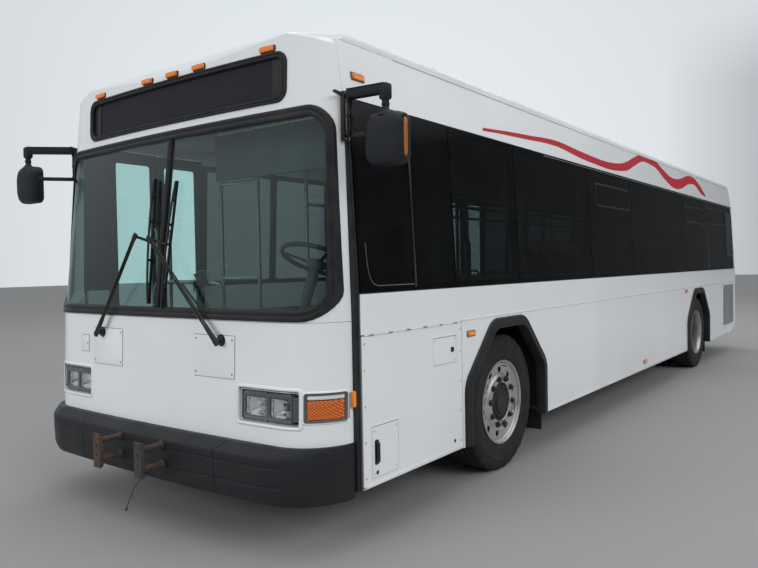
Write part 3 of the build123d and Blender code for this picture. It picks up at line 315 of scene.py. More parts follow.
def glass(name, tint, dust=0.03, rough=0.015, ior=1.5, shade=None):
    """Pane: tint and see-through, with Fresnel reflection and a thin dust film."""
    m = Mat(name)
    m.t.nodes.remove(m.p)
    tr = m.new("ShaderNodeBsdfTransparent")
    tr.inputs[0].default_value = (*tint, 1)
    gl = m.new("ShaderNodeBsdfGlossy")
    gl.inputs["Color"].default_value = (1, 1, 1, 1)
    gl.inputs["Roughness"].default_value = rough
    fr = m.new("ShaderNodeFresnel")
    geo = m.new("ShaderNodeNewGeometry")
    sw_ = m.new("ShaderNodeMapRange")
    sw_.inputs[3].default_value, sw_.inputs[4].default_value = ior, 1.0 / ior
    m.link(geo.outputs["Backfacing"], sw_.inputs[0])
    m.link(sw_.outputs[0], fr.inputs["IOR"])
    n = m.new("ShaderNodeBump")
    n.inputs["Strength"].default_value = 0.06
    n.inputs["Distance"].default_value = 0.004
    m.link(m.noise(1.4, 1.0), n.inputs["Height"])
    m.link(n.outputs[0], gl.inputs["Normal"])
    m1 = m.new("ShaderNodeMixShader")
    m.link(fr.outputs[0], m1.inputs[0])
    m.link(tr.outputs[0], m1.inputs[1])
    m.link(gl.outputs[0], m1.inputs[2])
    df = m.new("ShaderNodeBsdfDiffuse")
    df.inputs[0].default_value = (*(shade or (0.35, 0.36, 0.36)), 1)
    m2 = m.new("ShaderNodeMixShader")
    film = m.mul(m.span(m.noise(6, 5.0, 0.65), 0.3, 0.8), dust * 1.6)
    m.link(film, m2.inputs[0])
    m.link(m1.outputs[0], m2.inputs[1])
    m.link(df.outputs[0], m2.inputs[2])
    m.link(m2.outputs[0], m.o.inputs[0])
    return m.m


def lens(name, colour, deep, glow=0.12, ribs=None):
    """Coloured lens: glossy, with its prisms as bump and a little depth of colour."""
    m = Mat(name)
    if ribs == "cross":
        h = m.math("MULTIPLY", m.wave(28, "Y", turn=(0.9, 0, 0)), m.wave(28, "Z", turn=(0.9, 0, 0)))
    else:
        h = m.wave(60, "Y", stretch=(1, 1, 0.2))
    m.set(base=m.mix(m.span(h, 0.1, 0.7), deep, colour), rough=0.12, coat=0.8, coat_rough=0.03,
          glow_colour=colour, glow=glow)
    m.bump(h, 0.6, 0.002)
    return m.m


WHITE = paint("white_paint", (0.715, 0.735, 0.745), (0.68, 0.705, 0.72))
ROOF = paint("roof_paint", (0.62, 0.635, 0.64), (0.55, 0.565, 0.57), 0.36, 1.3, 0.15)
SKIRT = paint("side_paint", (0.715, 0.735, 0.745), (0.68, 0.70, 0.715), 0.22, 1.1)
RED = paint("red_stripe", (0.42, 0.016, 0.026), (0.38, 0.015, 0.024), 0.45, 0.2, 0.0)
RUBBER = plastic("black_rubber", (0.010, 0.010, 0.011), (0.050, 0.049, 0.048), 0.42, 500, 0.2, 0.30)
FRAME = plastic("window_frame_black", (0.012, 0.012, 0.013), (0.04, 0.04, 0.042), 0.35, 600, 0.12, 0.2, 0.2)
BUMPER = plastic("bumper_plastic", (0.008, 0.0095, 0.0115), (0.026, 0.028, 0.031), 0.50, 420, 0.10, 0.25)
FLARE = plastic("flare_rubber", (0.011, 0.012, 0.014), (0.05, 0.05, 0.05), 0.5, 380, 0.25, 0.30)
MIRROR = plastic("mirror_plastic", (0.008, 0.010, 0.013), (0.026, 0.028, 0.032), 0.52, 900, 0.10, 0.15)
SATIN = plastic("black_paint", (0.010, 0.010, 0.011), (0.06, 0.058, 0.055), 0.33, 300, 0.15, 0.22, 0.15)
BEZEL = plastic("grey_bezel", (0.075, 0.080, 0.088), (0.18, 0.185, 0.19), 0.30, 500, 0.1, 0.4, 0.3)
DASH = plastic("dash_plastic", (0.045, 0.047, 0.05), (0.11, 0.11, 0.11), 0.6, 350, 0.5, 0.35)
PANEL_GREY = plastic("trim_grey", (0.34, 0.35, 0.36), (0.46, 0.46, 0.46), 0.55, 350, 0.3, 0.3)
FLOORING = plastic("floor_vinyl", (0.075, 0.08, 0.09), (0.15, 0.15, 0.15), 0.6, 160, 0.4, 0.5)
ALU = metal("polished_aluminium", (0.74, 0.735, 0.725), 0.30, 0.10, (0.34, 0.32, 0.30), (1, 1, 1), 3, 0.0)
ALU_DULL = metal("dull_aluminium", (0.60, 0.60, 0.59), 0.38, 0.7, (0.20, 0.185, 0.17), (1, 1, 1), 40, 0.25)
CHROME = metal("chrome", (0.86, 0.87, 0.88), 0.08, 0.12, (0.3, 0.3, 0.3), (1, 1, 1), 30, 0.03)
STEEL = metal("rail_steel", (0.62, 0.62, 0.61), 0.28, 0.2, (0.25, 0.25, 0.25), (1, 1, 0.1), 120, 0.08)
BRASS = metal("brass_nut", (0.55, 0.42, 0.24), 0.35, 0.5, (0.16, 0.12, 0.08), (1, 1, 1), 80, 0.2)
RUSTY = rust("rusty_steel", (0.045, 0.042, 0.042), (0.13, 0.070, 0.042), (0.06, 0.034, 0.025), 0.5)
IRON = rust("axle_iron", (0.045, 0.043, 0.042), (0.115, 0.08, 0.055), (0.06, 0.042, 0.032), 0.42)
HUB = rust("hub_iron", (0.020, 0.018, 0.017), (0.050, 0.034, 0.028), (0.018, 0.014, 0.012), 0.45, 0.55)
UNDER = rust("underframe_coat", (0.022, 0.022, 0.023), (0.07, 0.058, 0.048), (0.045, 0.038, 0.032), 0.25, 0.8)
NUT = plastic("nut_cap", (0.018, 0.018, 0.02), (0.10, 0.085, 0.07), 0.4, 300, 0.2, 0.4, 0.2)
SCREEN = glass("windshield_glass", (0.80, 0.925, 0.915), 0.004)
DARK_GLASS = glass("tinted_glass", (0.30, 0.32, 0.325), 0.004)
DOOR_GLASS = glass("door_glass", (0.86, 0.95, 0.94), 0.005)
LAMP_GLASS = glass("lamp_glass", (0.93, 0.94, 0.95), 0.03, 0.02)
AMBER = lens("amber_lens", (0.78, 0.20, 0.012), (0.30, 0.05, 0.004), 0.07, "cross")
PEARL = plastic("pearl_lens", (0.62, 0.62, 0.60), (0.45, 0.44, 0.42), 0.15, 300, 0.05, 0.2, 0.6)
AMBER_D = lens("amber_dark", (0.50, 0.17, 0.03), (0.28, 0.085, 0.012), 0.02)
AMBER_S = lens("amber_small", (0.88, 0.25, 0.018), (0.56, 0.12, 0.008), 0.08)
RED_LENS = lens("red_lens", (0.62, 0.015, 0.012), (0.26, 0.006, 0.005), 0.06, "cross")
GLOSS_MIRROR = metal("mirror_glass", (0.78, 0.80, 0.82), 0.04, 0.04, (0.4, 0.4, 0.4), (1, 1, 1), 3, 0.0)


def tyre_rubber():
    m = Mat("tyre_rubber")
    x, y, z = m.axis(0), m.axis(1), m.axis(2)
    dust = m.noise(7, 5.0, 0.65)
    fine = m.noise(130, 3.0)
    d = m.add(m.mul(m.span(dust, 0.35, 0.75), 0.55), m.mul(m.span(fine, 0.45, 0.75), 0.15))
    m.set(base=m.mix(d, (0.010, 0.010, 0.0105), (0.045, 0.040, 0.035)), rough=m.span(dust, 0.3, 0.7, 0.68, 0.86))
    m.bump(m.add(m.mul(fine, 0.5), m.mul(dust, 0.3)), 0.35, 0.001)
    return m.m


TYRE = tyre_rubber()


def sign_face():
    m = Mat("sign_face")
    rows = m.wave(19.6, "Z", profile="SAW")
    dots = m.mul(m.wave(19.6, "Y"), m.wave(19.6, "Z"))
    f = m.add(m.mul(m.span(rows, 0.80, 0.95), 0.7), m.mul(m.span(dots, 0.45, 0.9), 0.5))
    m.set(base=m.mix(f, (0.020, 0.021, 0.026), (0.009, 0.009, 0.010)), rough=0.6, coat=0.05, coat_rough=0.05, spec=0.2)
    m.bump(rows, 0.35, 0.0015)
    return m.m


def fabric(name, a, b, fleck):
    m = Mat(name)
    w1 = m.wave(420, "X", twist=0.4)
    w2 = m.wave(420, "Z", twist=0.4)
    w3 = m.wave(420, "Y", twist=0.4)
    weave = m.mul(m.math("MAXIMUM", w1, w3), w2)
    pat = m.cells(24, "F1", stretch=(1, 1, 1))
    wear = m.noise(6, 4.0)
    c = m.mix(m.span(pat, 0.10, 0.16), fleck, m.mix(m.span(weave, 0.2, 0.8), a, b))
    m.set(base=m.mix(m.mul(m.span(wear, 0.5, 0.8), 0.3), c, (0.12, 0.12, 0.125)), rough=0.92, sheen=0.35, sheen_rough=0.5)
    m.bump(m.add(m.mul(weave, 0.6), m.mul(wear, 0.2)), 0.5, 0.0012)
    return m.m


SIGN = sign_face()
CLOTH = fabric("seat_cloth", (0.028, 0.045, 0.095), (0.042, 0.062, 0.12), (0.16, 0.19, 0.25))
CLOTH_DARK = fabric("driver_cloth", (0.022, 0.023, 0.026), (0.036, 0.037, 0.041), (0.06, 0.06, 0.065))


def mesh_sheet():
    """Punched metal sheet with small round holes as bump, each hole painted near black as painted shade of the dark
    space behind the sheet.
    """
    m = Mat("punched_sheet_painted_shade")
    holes = m.cells(86, "F1", stretch=(1, 0.0, 1), turn=(0, 0.785, 0), random_=0.0)
    stain = m.noise(5, 4.0, 0.6)
    f = m.span(holes, 0.40, 0.30)
    # the holes are painted near black (0.02): painted shade of the dark space seen through them, not real openings
    m.set(base=m.mix(m.mul(f, 0.92), m.mix(m.span(stain, 0.4, 0.7), (0.40, 0.405, 0.415), (0.31, 0.308, 0.305)), (0.02, 0.02, 0.02)),
          metal=0.25, rough=0.5)
    m.bump(holes, 0.5, 0.001)
    return m.m


GRILLE = mesh_sheet()


# --- mesh helpers ------------------------------------------------------------------
def lerp(rows, z):
    if z <= rows[0][0]:
        return rows[0][1]
    for (a, p), (b, q) in zip(rows[:-1], rows[1:]):
        if z <= b:
            return p + (q - p) * (z - a) / (b - a)
    return rows[-1][1]


def y_side(z):
    return lerp([(0, HALF_W), (BELT_Z, HALF_W), (BAND_TOP_Z, BAND_TOP_Y), (CANT_Z, CANT_Y)], z)


def plan(z, off=0.0):
    """Front plan at height z: half width at the post, x at the middle, arc radius, arc start, x there, bow."""
    t = min(max((z - 1.211) / (BAND_TOP_Z - 1.211), 0.0), 1.0)
    r = 0.300 - 0.050 * t
    bow = 0.025 + 0.010 * t
    ys = y_side(min(z, CANT_Z)) - 0.025 + 0.021 * t
    xf = AX_F + lerp(FRONT, z)
    yb = ys - r
    for _ in range(30):
        xb = xf - bow * yb * yb
        d = POST_X - xb + r
        yb = ys - math.sqrt(r * r - d * d)
    r += off
    return yb + math.sqrt(max(r * r - d * d, 0.0)), xf + off, r, yb, xb + off, bow


def F(y, z, off=0.0):
    """Point of the front surface, off metres outside it."""
    ys, xf, r, yb, xb, bow = plan(z, off)
    a = abs(y)
    if a <= yb:
        return Vector((xf - bow * a * a, y, z))
    t = min(a - yb, r)
    return Vector((xb - r + math.sqrt(max(r * r - t * t, 0.0)), y, z))


def G(u, z, off=0.0):
    """The same surface by the run u along its plan from the middle."""
    ys, xf, r, yb, xb, bow = plan(z, off)
    a, s = abs(u), (1 if u >= 0 else -1)
    if a <= yb:
        return Vector((xf - bow * a * a, u, z))
    t = (a - yb) / (r - off)
    return Vector((xb - r + r * math.cos(t), s * (yb + r * math.sin(t)), z))


def run_of(y, z):
    """Run along the plan for a given y."""
    ys, xf, r, yb, xb, bow = plan(z)
    a = abs(y)
    u = a if a <= yb else yb + r * math.asin(min((a - yb) / r, 1.0))
    return u if y >= 0 else -u


def S(sgn):
    return lambda x, z, out=0.0: Vector((x, sgn * (y_side(z) + out), z))


def round_poly(pts, radii, n=6):
    """Closed outline with its corners rounded: n + 1 points a corner."""
    out = []
    m = len(pts)
    if not isinstance(radii, (list, tuple)):
        radii = [radii] * m
    for i in range(m):
        p, a, b = Vector(pts[i]), Vector(pts[i - 1]), Vector(pts[(i + 1) % m])
        d1, d2 = (a - p).normalized(), (b - p).normalized()
        half = math.acos(max(-1, min(1, d1.dot(d2)))) / 2
        r = radii[i]
        if r < 1e-6:
            out += [p] * (n + 1)
            continue
        cut = r / math.tan(half)
        c = p + (d1 + d2).normalized() * (r / math.sin(half))
        s, e_ = p + d1 * cut - c, p + d2 * cut - c
        a0 = math.atan2(s.y, s.x)
        a1 = math.atan2(e_.y, e_.x)
        while a1 - a0 > math.pi:
            a1 -= 2 * math.pi
        while a1 - a0 < -math.pi:
            a1 += 2 * math.pi
        for k in range(n + 1):
            t = a0 + (a1 - a0) * k / n
            out.append(c + Vector((math.cos(t), math.sin(t))) * r)
    return out


def rrect(cx, cy, w, h, r, n=5):
    w, h = w / 2, h / 2
    r = min(r, w * 0.98, h * 0.98)
    return round_poly([(cx - w, cy - h), (cx + w, cy - h), (cx + w, cy + h), (cx - w, cy + h)], r, n)


def dense(pts, step):
    """The outline with extra points, so that it follows a curved surface."""
    out = []
    for i, p in enumerate(pts):
        q = pts[(i + 1) % len(pts)]
        n = max(1, int((q - p).length / step))
        out += [p + (q - p) * (k / n) for k in range(n)]
    return out


class Piece:
    """Collects surfaces into one mesh object."""

    def __init__(self, name):
        self.name, self.v, self.f, self.fm, self.mats = name, [], [], [], []

    def slot(self, mat):
        if mat not in self.mats:
            self.mats.append(mat)
        return self.mats.index(mat)

    def add(self, verts, faces, mat):
        b, k = len(self.v), self.slot(mat)
        self.v += [tuple(v) for v in verts]
        for f in faces:
            self.f.append([i + b for i in f])
            self.fm.append(k)

    def grid(self, rings, mat, ring=True, path=False, cap0=False, cap1=False):
        """Rows of points joined into quads. ring closes each row, path joins last row to first."""
        n, m = len(rings[0]), len(rings)
        faces = []
        for i in range(m if path else m - 1):
            a, b = i * n, ((i + 1) % m) * n
            for j in range(n if ring else n - 1):
                k = (j + 1) % n
                faces.append((a + j, a + k, b + k, b + j))
        if cap0:
            faces.append(tuple(reversed(range(n))))
        if cap1:
            faces.append(tuple((m - 1) * n + j for j in range(n)))
        self.add([p for r in rings for p in r], faces, mat)

    def plate(self, outline, place, h0, h1, mat, bev=0.0, under=True, steps=2):
        """Thin plate with this outline on a surface, from height h0 to h1, its top edge rounded by bev."""
        c = sum(outline, Vector((0, 0))) / len(outline)
        rings = [[place(p.x, p.y, h0) for p in outline]]
        if bev > 0:
            for k in range(steps + 1):
                t = math.pi / 2 * k / steps
                inset, h = bev * (1 - math.cos(t)), h1 - bev * (1 - math.sin(t))
                row = []
                for i, p in enumerate(outline):
                    d = c - p
                    row.append(place(p.x + math.copysign(min(inset, abs(d.x)), d.x) * min(1, abs(d.x) / 1e-3),
                                     p.y + math.copysign(min(inset, abs(d.y)), d.y) * min(1, abs(d.y) / 1e-3), h))
                rings.append(row)
        else:
            rings.append([place(p.x, p.y, h1) for p in outline])
        self.grid(rings, mat, cap0=under, cap1=True)

    def ribbon(self, a, b, prof, place, mat, closed=True):
        """Moulding between outline a and outline b: prof lists (share from a to b, height)."""
        rings = [[place(p.x + (q.x - p.x) * t, p.y + (q.y - p.y) * t, h) for t, h in prof] for p, q in zip(a, b)]
        self.grid(rings, mat, ring=True, path=closed, cap0=not closed, cap1=not closed)

    def lathe(self, prof, centre, mat, n=64, sgn=1.0, closed=True, wobble=None):
        """prof lists (radius, side distance from centre along Y)."""
        cx, cy, cz = centre
        rings = []
        for i in range(n):
            a = 2 * math.pi * i / n
            row = []
            for j, (r, s) in enumerate(prof):
                if wobble:
                    r, s = wobble(i, j, r, s)
                row.append(Vector((cx + r * math.cos(a), cy + sgn * s, cz + r * math.sin(a))))
            rings.append(row)
        self.grid(rings, mat, ring=closed, path=True)

    def tube(self, pts, r, mat, n=10, closed=False, flat=1.0, radii=None):
        pts = [Vector(p) for p in pts]
        m = len(pts)
        rings, nor = [], None
        for i, p in enumerate(pts):
            if closed:
                d = (pts[(i + 1) % m] - pts[i - 1]).normalized()
            else:
                d = (pts[min(i + 1, m - 1)] - pts[max(i - 1, 0)]).normalized()
            if nor is None:
                nor = d.orthogonal().normalized() if abs(d.z) > 0.95 else d.cross(Vector((0, 0, 1))).normalized()
            else:
                nor = (nor - d * nor.dot(d)).normalized()
            bi = d.cross(nor)
            rr = radii[i] if radii else r
            rings.append([p + nor * (rr * math.cos(2 * math.pi * k / n)) + bi * (rr * flat * math.sin(2 * math.pi * k / n))
                          for k in range(n)])
        self.grid(rings, mat, path=closed, cap0=not closed, cap1=not closed)

    def beam(self, a, b, w, h, r, mat, up=(0, 0, 1), w2=None, h2=None):
        """Bar of rounded rectangular section from a to b: w across, h along up."""
        a, b = Vector(a), Vector(b)
        d = (b - a).normalized()
        side = Vector(up).cross(d).normalized()
        u = d.cross(side)
        L = (b - a).length
        bev = min(r, L * 0.3)
        rows = []
        for t, k in ((0, bev), (bev * 0.35, bev * 0.25), (bev, 0), (L - bev, 0), (L - bev * 0.35, bev * 0.25), (L, bev)):
            s = t / L
            ww, hh = w + ((w2 or w) - w) * s, h + ((h2 or h) - h) * s
            rows.append([a + d * t + side * p.x + u * p.y for p in rrect(0, 0, ww - 2 * k, hh - 2 * k, max(r - k * 0.5, 0.0005), 3)])
        self.grid(rows, mat, cap0=True, cap1=True)

    def box(self, lo, hi, r, mat, seg=2):
        bm = bmesh.new()
        bmesh.ops.create_cube(bm, size=1.0)
        size = [hi[k] - lo[k] for k in range(3)]
        mid = [(hi[k] + lo[k]) / 2 for k in range(3)]
        for v in bm.verts:
            v.co = Vector((v.co.x * size[0] + mid[0], v.co.y * size[1] + mid[1], v.co.z * size[2] + mid[2]))
        r = min(r, min(size) * 0.45)
        bmesh.ops.bevel(bm, geom=list(bm.edges), offset=r, segments=seg, profile=0.5, affect="EDGES")
        bm.verts.index_update()
        self.add([v.co.copy() for v in bm.verts], [[v.index for v in f.verts] for f in bm.faces], mat)
        bm.free()

    def dome(self, c, d, r, h, mat, n=12, k=4, base=0.0):
        """Round button at c, facing d."""
        c, d = Vector(c), Vector(d).normalized()
        u = d.orthogonal().normalized()
        w = d.cross(u)
        rows = [[c - d * base + (u * math.cos(2 * math.pi * i / n) + w * math.sin(2 * math.pi * i / n)) * r for i in range(n)]]
        for j in range(k):
            t = math.pi / 2 * j / k
            rr, hh = r * math.cos(t) ** 0.7, h * math.sin(t)
            rows.append([c + d * hh + (u * math.cos(2 * math.pi * i / n) + w * math.sin(2 * math.pi * i / n)) * rr for i in range(n)])
        self.grid(rows, mat, cap0=True, cap1=True)

    def hexnut(self, c, d, r, h, mat, stud=None):
        c, d = Vector(c), Vector(d).normalized()
        u = d.orthogonal().normalized()
        w = d.cross(u)
        rows = []
        for rr, hh in ((r * 1.12, 0), (r * 1.12, h * 0.12), (r, h * 0.2), (r, h * 0.88), (r * 0.86, h)):
            rows.append([c + d * hh + (u * math.cos(math.pi / 3 * i) + w * math.sin(math.pi / 3 * i)) * rr for i in range(6)])
        self.grid(rows, mat, cap0=True, cap1=True)
        if stud:
            self.dome(c + d * h, d, r * 0.5, stud, mat, 8, 2)

    def done(self, body="body", slot=None, smooth=34.0, replaces=()):
        me = bpy.data.meshes.new(self.name)
        me.from_pydata(self.v, [], self.f)
        for m in self.mats:
            me.materials.append(m)
        me.polygons.foreach_set("material_index", self.fm)
        bm = bmesh.new()
        bm.from_mesh(me)
        bmesh.ops.remove_doubles(bm, verts=bm.verts, dist=2e-6)
        bmesh.ops.dissolve_degenerate(bm, edges=bm.edges, dist=1e-6)
        bmesh.ops.recalc_face_normals(bm, faces=bm.faces)
        lim = math.radians(smooth)
        for f in bm.faces:
            f.smooth = True
        for ed in bm.edges:
            if len(ed.link_faces) == 2:
                ed.smooth = ed.calc_face_angle(0.0) < lim
        bm.to_mesh(me)
        bm.free()
        o = bpy.data.objects.new(self.name, me)
        bpy.context.scene.collection.objects.link(o)
        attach(o, body)
        if replaces:
            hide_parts(*replaces)
        return o


def cut(obj, cutter):
    """Boolean difference, applied."""
    m = obj.modifiers.new("cut", "BOOLEAN")
    m.operation, m.solver, m.object = "DIFFERENCE", "EXACT", cutter
    dg = bpy.context.evaluated_depsgraph_get()
    me = bpy.data.meshes.new_from_object(obj.evaluated_get(dg))
    obj.modifiers.clear()
    obj.data = me
    bpy.data.objects.remove(cutter)
    return obj


def finish_node(name, mat):
    o = NODES[name]
    for k in range(max(1, len(o.material_slots))):
        if k >= len(o.material_slots):
            o.data.materials.append(mat)
        else:
            o.material_slots[k].material = mat


SIDES = ((1, "left"), (-1, "right"))


def pairs(a, b, step, closed=True):
    """Both outlines with the same extra points along their straight runs."""
    oa, ob = [], []
    m = len(a)
    for i in range(m if closed else m - 1):
        j = (i + 1) % m
        n = max(1, int(math.ceil(max((a[j] - a[i]).length, (b[j] - b[i]).length) / step)))
        for k in range(n):
            oa.append(a[i] + (a[j] - a[i]) * (k / n))
            ob.append(b[i] + (b[j] - b[i]) * (k / n))
    if not closed:
        oa.append(a[-1])
        ob.append(b[-1])
    return oa, ob


def smooth_line(pts, n=6):
    """Catmull-Rom through the points, any dimension."""
    pts = [Vector(p) for p in pts]
    out = []
    for i in range(len(pts) - 1):
        p0, p1, p2, p3 = pts[max(i - 1, 0)], pts[i], pts[i + 1], pts[min(i + 2, len(pts) - 1)]
        for k in range(n):
            t = k / n
            out.append(0.5 * ((2 * p1) + (p2 - p0) * t + (2 * p0 - 5 * p1 + 4 * p2 - p3) * t * t +
                              (3 * p1 - p0 - 3 * p2 + p3) * t ** 3))
    out.append(pts[-1])
    return out


# --- finishes of the carried-over nodes -----------------------------------------------
HATCH = plastic("hatch_plastic", (0.66, 0.67, 0.66), (0.45, 0.44, 0.42), 0.42, 300, 0.2, 0.3, 0.1)
ENGINE = rust("engine_coat", (0.06, 0.062, 0.065), (0.10, 0.08, 0.06), (0.035, 0.03, 0.026), 0.4, 0.6)
for names, mat in (
        (("front_cap_lower", "front_cap_upper", "upper_panels", "rear_cap"), WHITE),
        (("side_panels", "service_door", "battery_flap", "fuse_flap", "engine_door"), SKIRT),
        (("roof",), ROOF), (("roof_hatch_front", "roof_hatch_rear"), HATCH),
        (("window_frame_left", "window_frame_right"), FRAME), (("side_windows",), DARK_GLASS),
        (("windshield",), SCREEN), (("underframe", "wheel_housings"), UNDER), (("engine_block",), ENGINE),
        (("axles", "knuckle_left", "knuckle_right"), IRON), (("stanchions",), STEEL),
        (("rack_brackets",), RUSTY), (("rear_bumper",), BUMPER)):
    for n in names:
        finish_node(n, mat)


# --- windshield rubber, centre bar, corner posts ----------------------------------------
def trapezoid(yb, yt, z0, z1, r, n=8):
    return round_poly([(-yb, z0), (yb, z0), (yt, z1), (-yt, z1)], r, n)


BEAD = [(0.0, -0.008), (0.0, 0.004), (0.03, 0.0085), (0.10, 0.0115), (0.22, 0.0132), (0.36, 0.0122), (0.44, 0.0085),
        (0.50, 0.0075), (0.56, 0.0085), (0.63, 0.0118), (0.76, 0.0128), (0.89, 0.0100), (0.97, 0.0055), (1.0, 0.000),
        (1.0, -0.010)]
seal = Piece("windshield_rubber")
a, b = pairs(trapezoid(1.262, 1.214, 1.197, 2.318, 0.150), trapezoid(1.220, 1.172, 1.259, 2.258, 0.110), 0.09)
seal.ribbon(a, b, BEAD, F, RUBBER)
rows = []
for k in range(15):
    z = 1.2600 + (2.257 - 1.2600) * k / 14
    rows.append([F(w * 0.0185, z, h) for w, h in ((-1, -0.02), (-1, 0.002), (-0.8, 0.008), (-0.4, 0.0125), (0, 0.0133),
                                                  (0.4, 0.0125), (0.8, 0.008), (1, 0.002), (1, -0.02))])
seal.grid(rows, RUBBER, ring=True, cap0=True, cap1=True)
for s, _ in SIDES:
    rows = []
    for k in range(25):
        z = 0.310 + (2.328 - 0.310) * k / 24
        y = y_side(z) - 0.003
        rows.append([(POST_X - 0.0415 + dx, s * (y + h), z) for dx, h in
                     ((0, -0.028), (0, -0.003), (0.003, 0.0), (0.015, 0.0008), (0.018, -0.004), (0.023, -0.004),
                      (0.026, 0.0008), (0.037, 0.0), (0.040, -0.003), (0.040, -0.028))])
    seal.grid(rows, RUBBER, ring=True, cap0=True, cap1=True)
seal.done(slot="black_rubber", replaces=["windshield_seal"])

# --- destination sign ----------------------------------------------------------------------
sign = Piece("sign_panel")
a, b = pairs(rrect(0, 2.495, 1.862, 0.278, 0.070, 8), rrect(0, 2.495, 1.794, 0.210, 0.045, 8), 0.09)
sign.ribbon(a, b, [(t, h * 0.95) for t, h in BEAD], F, RUBBER)
rows = []
for j in range(9):
    z = 2.386 + 0.218 * j / 8
    rows.append([F(-0.901 + 1.802 * i / 40, z, -0.013) for i in range(41)])
sign.grid(rows, SIGN, ring=False)
for y0, y1 in ((-0.889, -0.815), (0.820, 0.889)):
    sign.grid([[F(y0 + (y1 - y0) * i / 4, z, h) for i in range(5)] for z, h in ((2.394, -0.013), (2.394, -0.009), (2.598, -0.009), (2.598, -0.013))],
              SATIN, ring=False)
sign.done(slot="sign_black", replaces=["destination_sign"])

# --- front access panels and small flap ------------------------------------------------------
acc = Piece("front_access_panels")
for s in (1, -1):
    pts = dense(rrect(s * 0.5095, 0.997, 0.332, 0.235, 0.006, 2), 0.05)
    acc.plate(pts, F, 0.0002, 0.0007, RUBBER)
    acc.plate(dense(rrect(s * 0.5095, 0.997, 0.327, 0.230, 0.005, 2), 0.05), F, 0.0004, 0.0030, WHITE, 0.0008)
    for dy in (-0.145, 0.145):
        for z in (0.905, 1.090):
            acc.dome(F(s * 0.5095 + dy, z, 0.003), (1, 0, 0), 0.0055, 0.002, SATIN, 10, 3)
acc.plate(dense(rrect(-0.784, 1.005, 0.100, 0.110, 0.004, 2), 0.05), F, 0.0002, 0.0007, RUBBER)
acc.plate(dense(rrect(-0.784, 1.005, 0.095, 0.105, 0.004, 2), 0.05), F, 0.0004, 0.0028, WHITE, 0.0008)
acc.dome(F(-0.752, 1.005, 0.0028), (1, 0, 0), 0.006, 0.002, SATIN, 10, 3)
acc.done(slot="white_paint")


# --- headlamps and corner lamps ----------------------------------------------------------------
def patch(piece, u0, u1, z0, z1, nu, nz, height, place, mat):
    """Skin over a range of the front, its height given at each share (a, b)."""
    rows = []
    for j in range(nz + 1):
        b_ = j / nz
        rows.append([place(u0 + (u1 - u0) * i / nu, z0 + (z1 - z0) * b_, height(i / nu, b_)) for i in range(nu + 1)])
    piece.grid(rows, mat, ring=False)


def edge_drop(a_, b_, wa, wb):
    """0 well inside, towards 1 at the edges, rounded."""
    da, db = min(a_, 1 - a_) / wa, min(b_, 1 - b_) / wb
    k = 1.0
    if da < 1:
        k *= math.sqrt(max(0.0, 1 - (1 - da) ** 2))
    if db < 1:
        k *= math.sqrt(max(0.0, 1 - (1 - db) ** 2))
    return 1 - k


